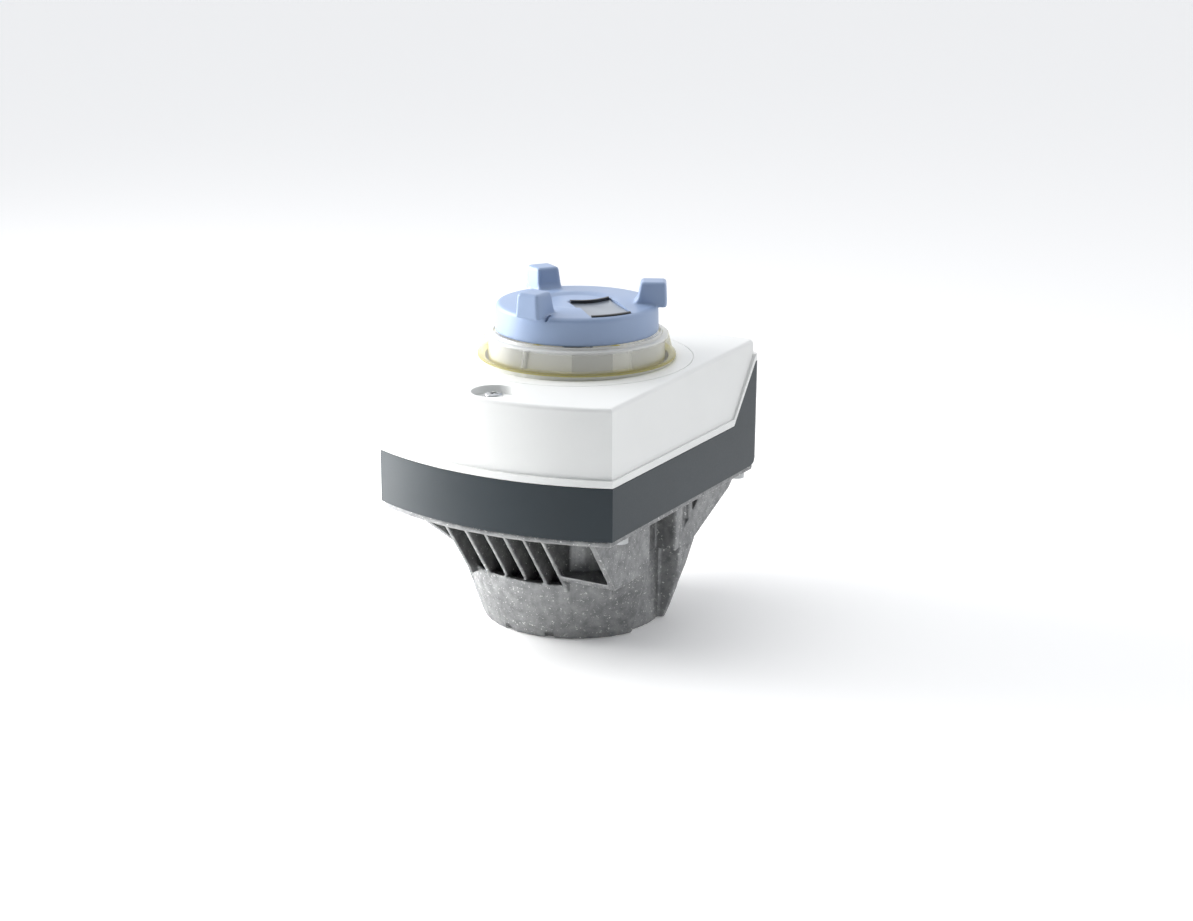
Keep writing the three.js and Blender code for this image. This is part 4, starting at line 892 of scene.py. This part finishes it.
def window_start(inner, low, high, steps=16):
    """Points on the bowed end of the window near the knob's middle, from high to low."""
    first, pull = inner - WINDOW_SKEW, inner + 2 * WINDOW_BOW - WINDOW_SKEW / 2
    points = []
    for i in range(steps + 1):
        t = i / steps
        x = (1 - t) ** 2 * first + 2 * t * (1 - t) * pull + t ** 2 * inner
        points.append((x, high + (low - high) * t))
    return points


def window_outline(inset):
    """The window's outline, drawn in all round by an inset."""
    low, high = WINDOW_LOW + inset, WINDOW_HIGH - inset
    return (window_end(WINDOW_OUTER - inset, low, high)
            + window_start(WINDOW_INNER + inset, low, high))


window_floor = knob_edge - WINDOW_DEPTH
recess = prism(
    "window_cut", window_outline(0), window_floor, knob_crown + CUT_CLEAR, WINDOW_TURN)
cut(knob, recess)
smooth_faces(knob, 38)
keep_inside(knob, "manual_knob")
fit_out(knob, knob_nylon, "knob", "blue_plastic", "manual_knob")

# %% [markdown]
# A silver film lies in the recess, and a black bar stands at each end of it. Both follow the
# recess's outline, so they are made from the same points.

# %% Film and bars
FILM_GAP, FILM_LIFT, FILM_UNDER_EDGE, FILM_ROUND = 0.2, 0.1, 0.25, 0.15
BAR_WIDTH, BAR_INSET, BAR_ROUND = 1.7, 0.5, 0.1
film_top = knob_edge - FILM_UNDER_EDGE
film = prism(
    "window_film", window_outline(FILM_GAP), window_floor + FILM_LIFT, film_top, WINDOW_TURN)
modify(film, "BEVEL", width=FILM_ROUND * MM, segments=1, limit_method="ANGLE")
settle(film)
fit_out(film, film_silver, "knob", "silver_foil", "knob_window_plate")


def window_bar(name, points, top):
    """A black bar that follows a line of points and stands up from the film."""
    outline = [*points, *((x - BAR_WIDTH, y) for x, y in reversed(points))]
    bar = prism(name, outline, film_top, top, WINDOW_TURN)
    modify(bar, "BEVEL", width=BAR_ROUND * MM, segments=2, limit_method="ANGLE")
    settle(bar)
    fit_out(bar, switch_pbt, "knob", "black_plastic")


bar_low, bar_high = WINDOW_LOW + BAR_INSET, WINDOW_HIGH - BAR_INSET
rim_bar = window_end(WINDOW_OUTER - BAR_INSET, bar_low, bar_high)
hub_bar = window_start(WINDOW_INNER + BAR_INSET + BAR_WIDTH, bar_low, bar_high)
window_bar("window_bar_rim", rim_bar, knob_edge + 0.7)
window_bar("window_bar_hub", hub_bar, knob_crown + 0.1)

# %% [markdown]
# ## The collar
#
# The collar is a thin clear cone with a foot flange and a rolled rim, held in the cover by a
# skirt. A copy of the CAD solid would show its facets against the light, so the wall is turned
# from a profile with a round at the flange and at the rim.

# %% Collar
FOOT_RADIUS, TOP_RADIUS, LIP_RADIUS, SKIRT_RADIUS = 47.3, 43.7, 40.2, 43.8
SKIRT_WALL, FOOT_CLEAR, FOOT_HEIGHT = 1.6, 0.3, 2.2
FOOT_UNDER, FOOT_OVER, RIM_OVER = 0.3, 0.6, 0.7
LIP_RISE = 1.3
ring_top = collar_high.z / MM
cover_at_rear = TOP_AT_AXIS + FOOT_RADIUS * TOP_SLOPE + FOOT_CLEAR
wall_foot = (FOOT_RADIUS - 1.5, cover_at_rear + FOOT_HEIGHT)
collar = turned("clear_collar", [
    (SKIRT_RADIUS - SKIRT_WALL, collar_low.z / MM),
    (SKIRT_RADIUS, collar_low.z / MM),
    (SKIRT_RADIUS, cover_at_rear),
    *rounded(FOOT_RADIUS - FOOT_UNDER, cover_at_rear + FOOT_UNDER, FOOT_UNDER, -90, 0, 3),
    *rounded(FOOT_RADIUS - FOOT_OVER, cover_at_rear + 1.0, FOOT_OVER, 0, 70, 4),
    wall_foot,
    *rounded(TOP_RADIUS - RIM_OVER, ring_top - RIM_OVER, RIM_OVER, 15, 90, 5),
    (LIP_RADIUS + 0.7, ring_top + 0.1),
    (LIP_RADIUS + 0.3, ring_top + LIP_RISE),
    (LIP_RADIUS - 0.4, ring_top + LIP_RISE),
    (LIP_RADIUS - 0.5, ring_top - 0.9),
    (TOP_RADIUS - 1.7, ring_top - 1.2),
    (SKIRT_RADIUS - SKIRT_WALL, cover_at_rear + 1),
])
print("collar from", round(collar_low.z / MM, 1), "to", round(ring_top + LIP_RISE, 1), "mm")

# %% [markdown]
# A small rib on the collar's front is the fixed mark that the drum is read against. It follows
# the slope of the wall, so it is the hull of eight corners, four at the foot and four at the rim.

# %% Index rib
RIB_TURN, RIB_WIDTH, RIB_STAND, RIB_ROOT, RIB_ROUND = -92.0, 3.2, 0.5, 0.3, 0.15
build = bmesh.new()
corners = []
for side in (-1, 1):
    for radius, z in (wall_foot, (TOP_RADIUS, ring_top - RIM_OVER)):
        for r in (radius - RIB_ROOT, radius + RIB_STAND):
            corners.append(build.verts.new(Vector((r, side * RIB_WIDTH / 2, z)) * MM))
bmesh.ops.convex_hull(build, input=corners)
bmesh.ops.rotate(build, verts=build.verts, matrix=Matrix.Rotation(math.radians(RIB_TURN), 3, "Z"))
rib = new_piece("collar_index_rib", build)
modify(rib, "BEVEL", width=RIB_ROUND * MM, segments=2, limit_method="ANGLE")
settle(rib)
smooth_faces(rib, 40)
fit_out(rib, collar_clear, "housing", "clear_plastic")
smooth_faces(collar, 40)
fit_out(collar, collar_clear, "housing", "clear_plastic", "window_ring")

# %% [markdown]
# ## The drum
#
# The drum behind the collar is white, with a grey field that shows how far the valve is open. It
# is a band with a brim, and is turned so that its outline stays round through the clear wall.

# %% Drum
drum_low, drum_high = (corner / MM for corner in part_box("indicator_drum"))
DRUM_BAND, DRUM_WALL, DRUM_BRIM, DRUM_EDGE = 41.0, 1.6, 8.0, 0.5
band = turned("position_drum", [
    (DRUM_BAND - DRUM_WALL, drum_low.z),
    (DRUM_BAND, drum_low.z),
    *rounded(DRUM_BAND - DRUM_EDGE, drum_high.z - DRUM_EDGE, DRUM_EDGE, 0, 90, 4),
    (DRUM_BAND - DRUM_BRIM, drum_high.z),
    (DRUM_BAND - DRUM_BRIM, drum_high.z - DRUM_WALL),
    (DRUM_BAND - DRUM_WALL, drum_high.z - DRUM_WALL),
])
smooth_faces(band, 40)
fit_out(band, drum_print, "output", "drum_plastic", "indicator_drum")

# %% [markdown]
# ## Cover screw
#
# The cover is held by one screw with a low rounded head and a cross recess. Its thread is hidden
# in the housing, so the shank stays plain. The head is turned, and two narrow blocks cut the
# cross.

# %% Cover screw
screw_low, screw_high = (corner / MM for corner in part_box("cover_screw"))
SCREW_HEAD, SCREW_SHANK, HEAD_HEIGHT, HEAD_CHAMFER = 4.2, 2.0, 2.6, 0.2
CROSS_DEPTH, CROSS_LONG, CROSS_SHORT = 1.5, 2.4, 0.5
NEAR_AXIS = 0.02  # a turned solid keeps this far from its axis
head_foot = screw_high.z - HEAD_HEIGHT
screw = turned("cover_screw_head", [
    (NEAR_AXIS, screw_low.z),
    (SCREW_SHANK, screw_low.z),
    (SCREW_SHANK, head_foot),
    (SCREW_HEAD - HEAD_CHAMFER, head_foot),
    (SCREW_HEAD, head_foot + HEAD_CHAMFER),
    *rounded(SCREW_HEAD - 0.9, screw_high.z - 0.95, 0.9, 0, 78, 5),
    (NEAR_AXIS, screw_high.z),
], 64)
for half_x, half_y in ((CROSS_LONG, CROSS_SHORT), (CROSS_SHORT, CROSS_LONG)):
    arm = [(-half_x, -half_y), (half_x, -half_y), (half_x, half_y), (-half_x, half_y)]
    cut(screw, prism("cross", arm, screw_high.z - CROSS_DEPTH, screw_high.z + 1))
screw_x = (screw_low.x + screw_high.x) / 2
screw_y = (screw_low.y + screw_high.y) / 2
screw.data.transform(Matrix.Translation(Vector((screw_x, screw_y, 0)) * MM))
smooth_faces(screw, 30)
fit_out(screw, zinc_steel, "housing", "steel", "cover_screw")

# %% [markdown]
# ## Cable plugs
#
# The three cable entries at the rear are shut by moulded plugs. They keep the CAD shape, with
# edges rounded like the tray's.

# %% Cable plugs
PLUG_EDGE = 0.3
for side in ("left", "centre", "right"):
    plug = copied(f"entry_plug_{side}", f"cable_plug_{side}")
    modify(plug, "BEVEL", width=PLUG_EDGE * MM, segments=2, limit_method="ANGLE",
           angle_limit=math.radians(25), use_clamp_overlap=True)
    settle(plug)
    smooth_faces(plug, 28)
    fit_out(plug, tray_nylon, "housing", "dark_plastic", f"cable_plug_{side}")

# %% [markdown]
# ## End
#
# The casting and the knob are trimmed to their CAD boxes above. The looks must stay
# inside the CAD model's box.

# %% End
print("scene built")
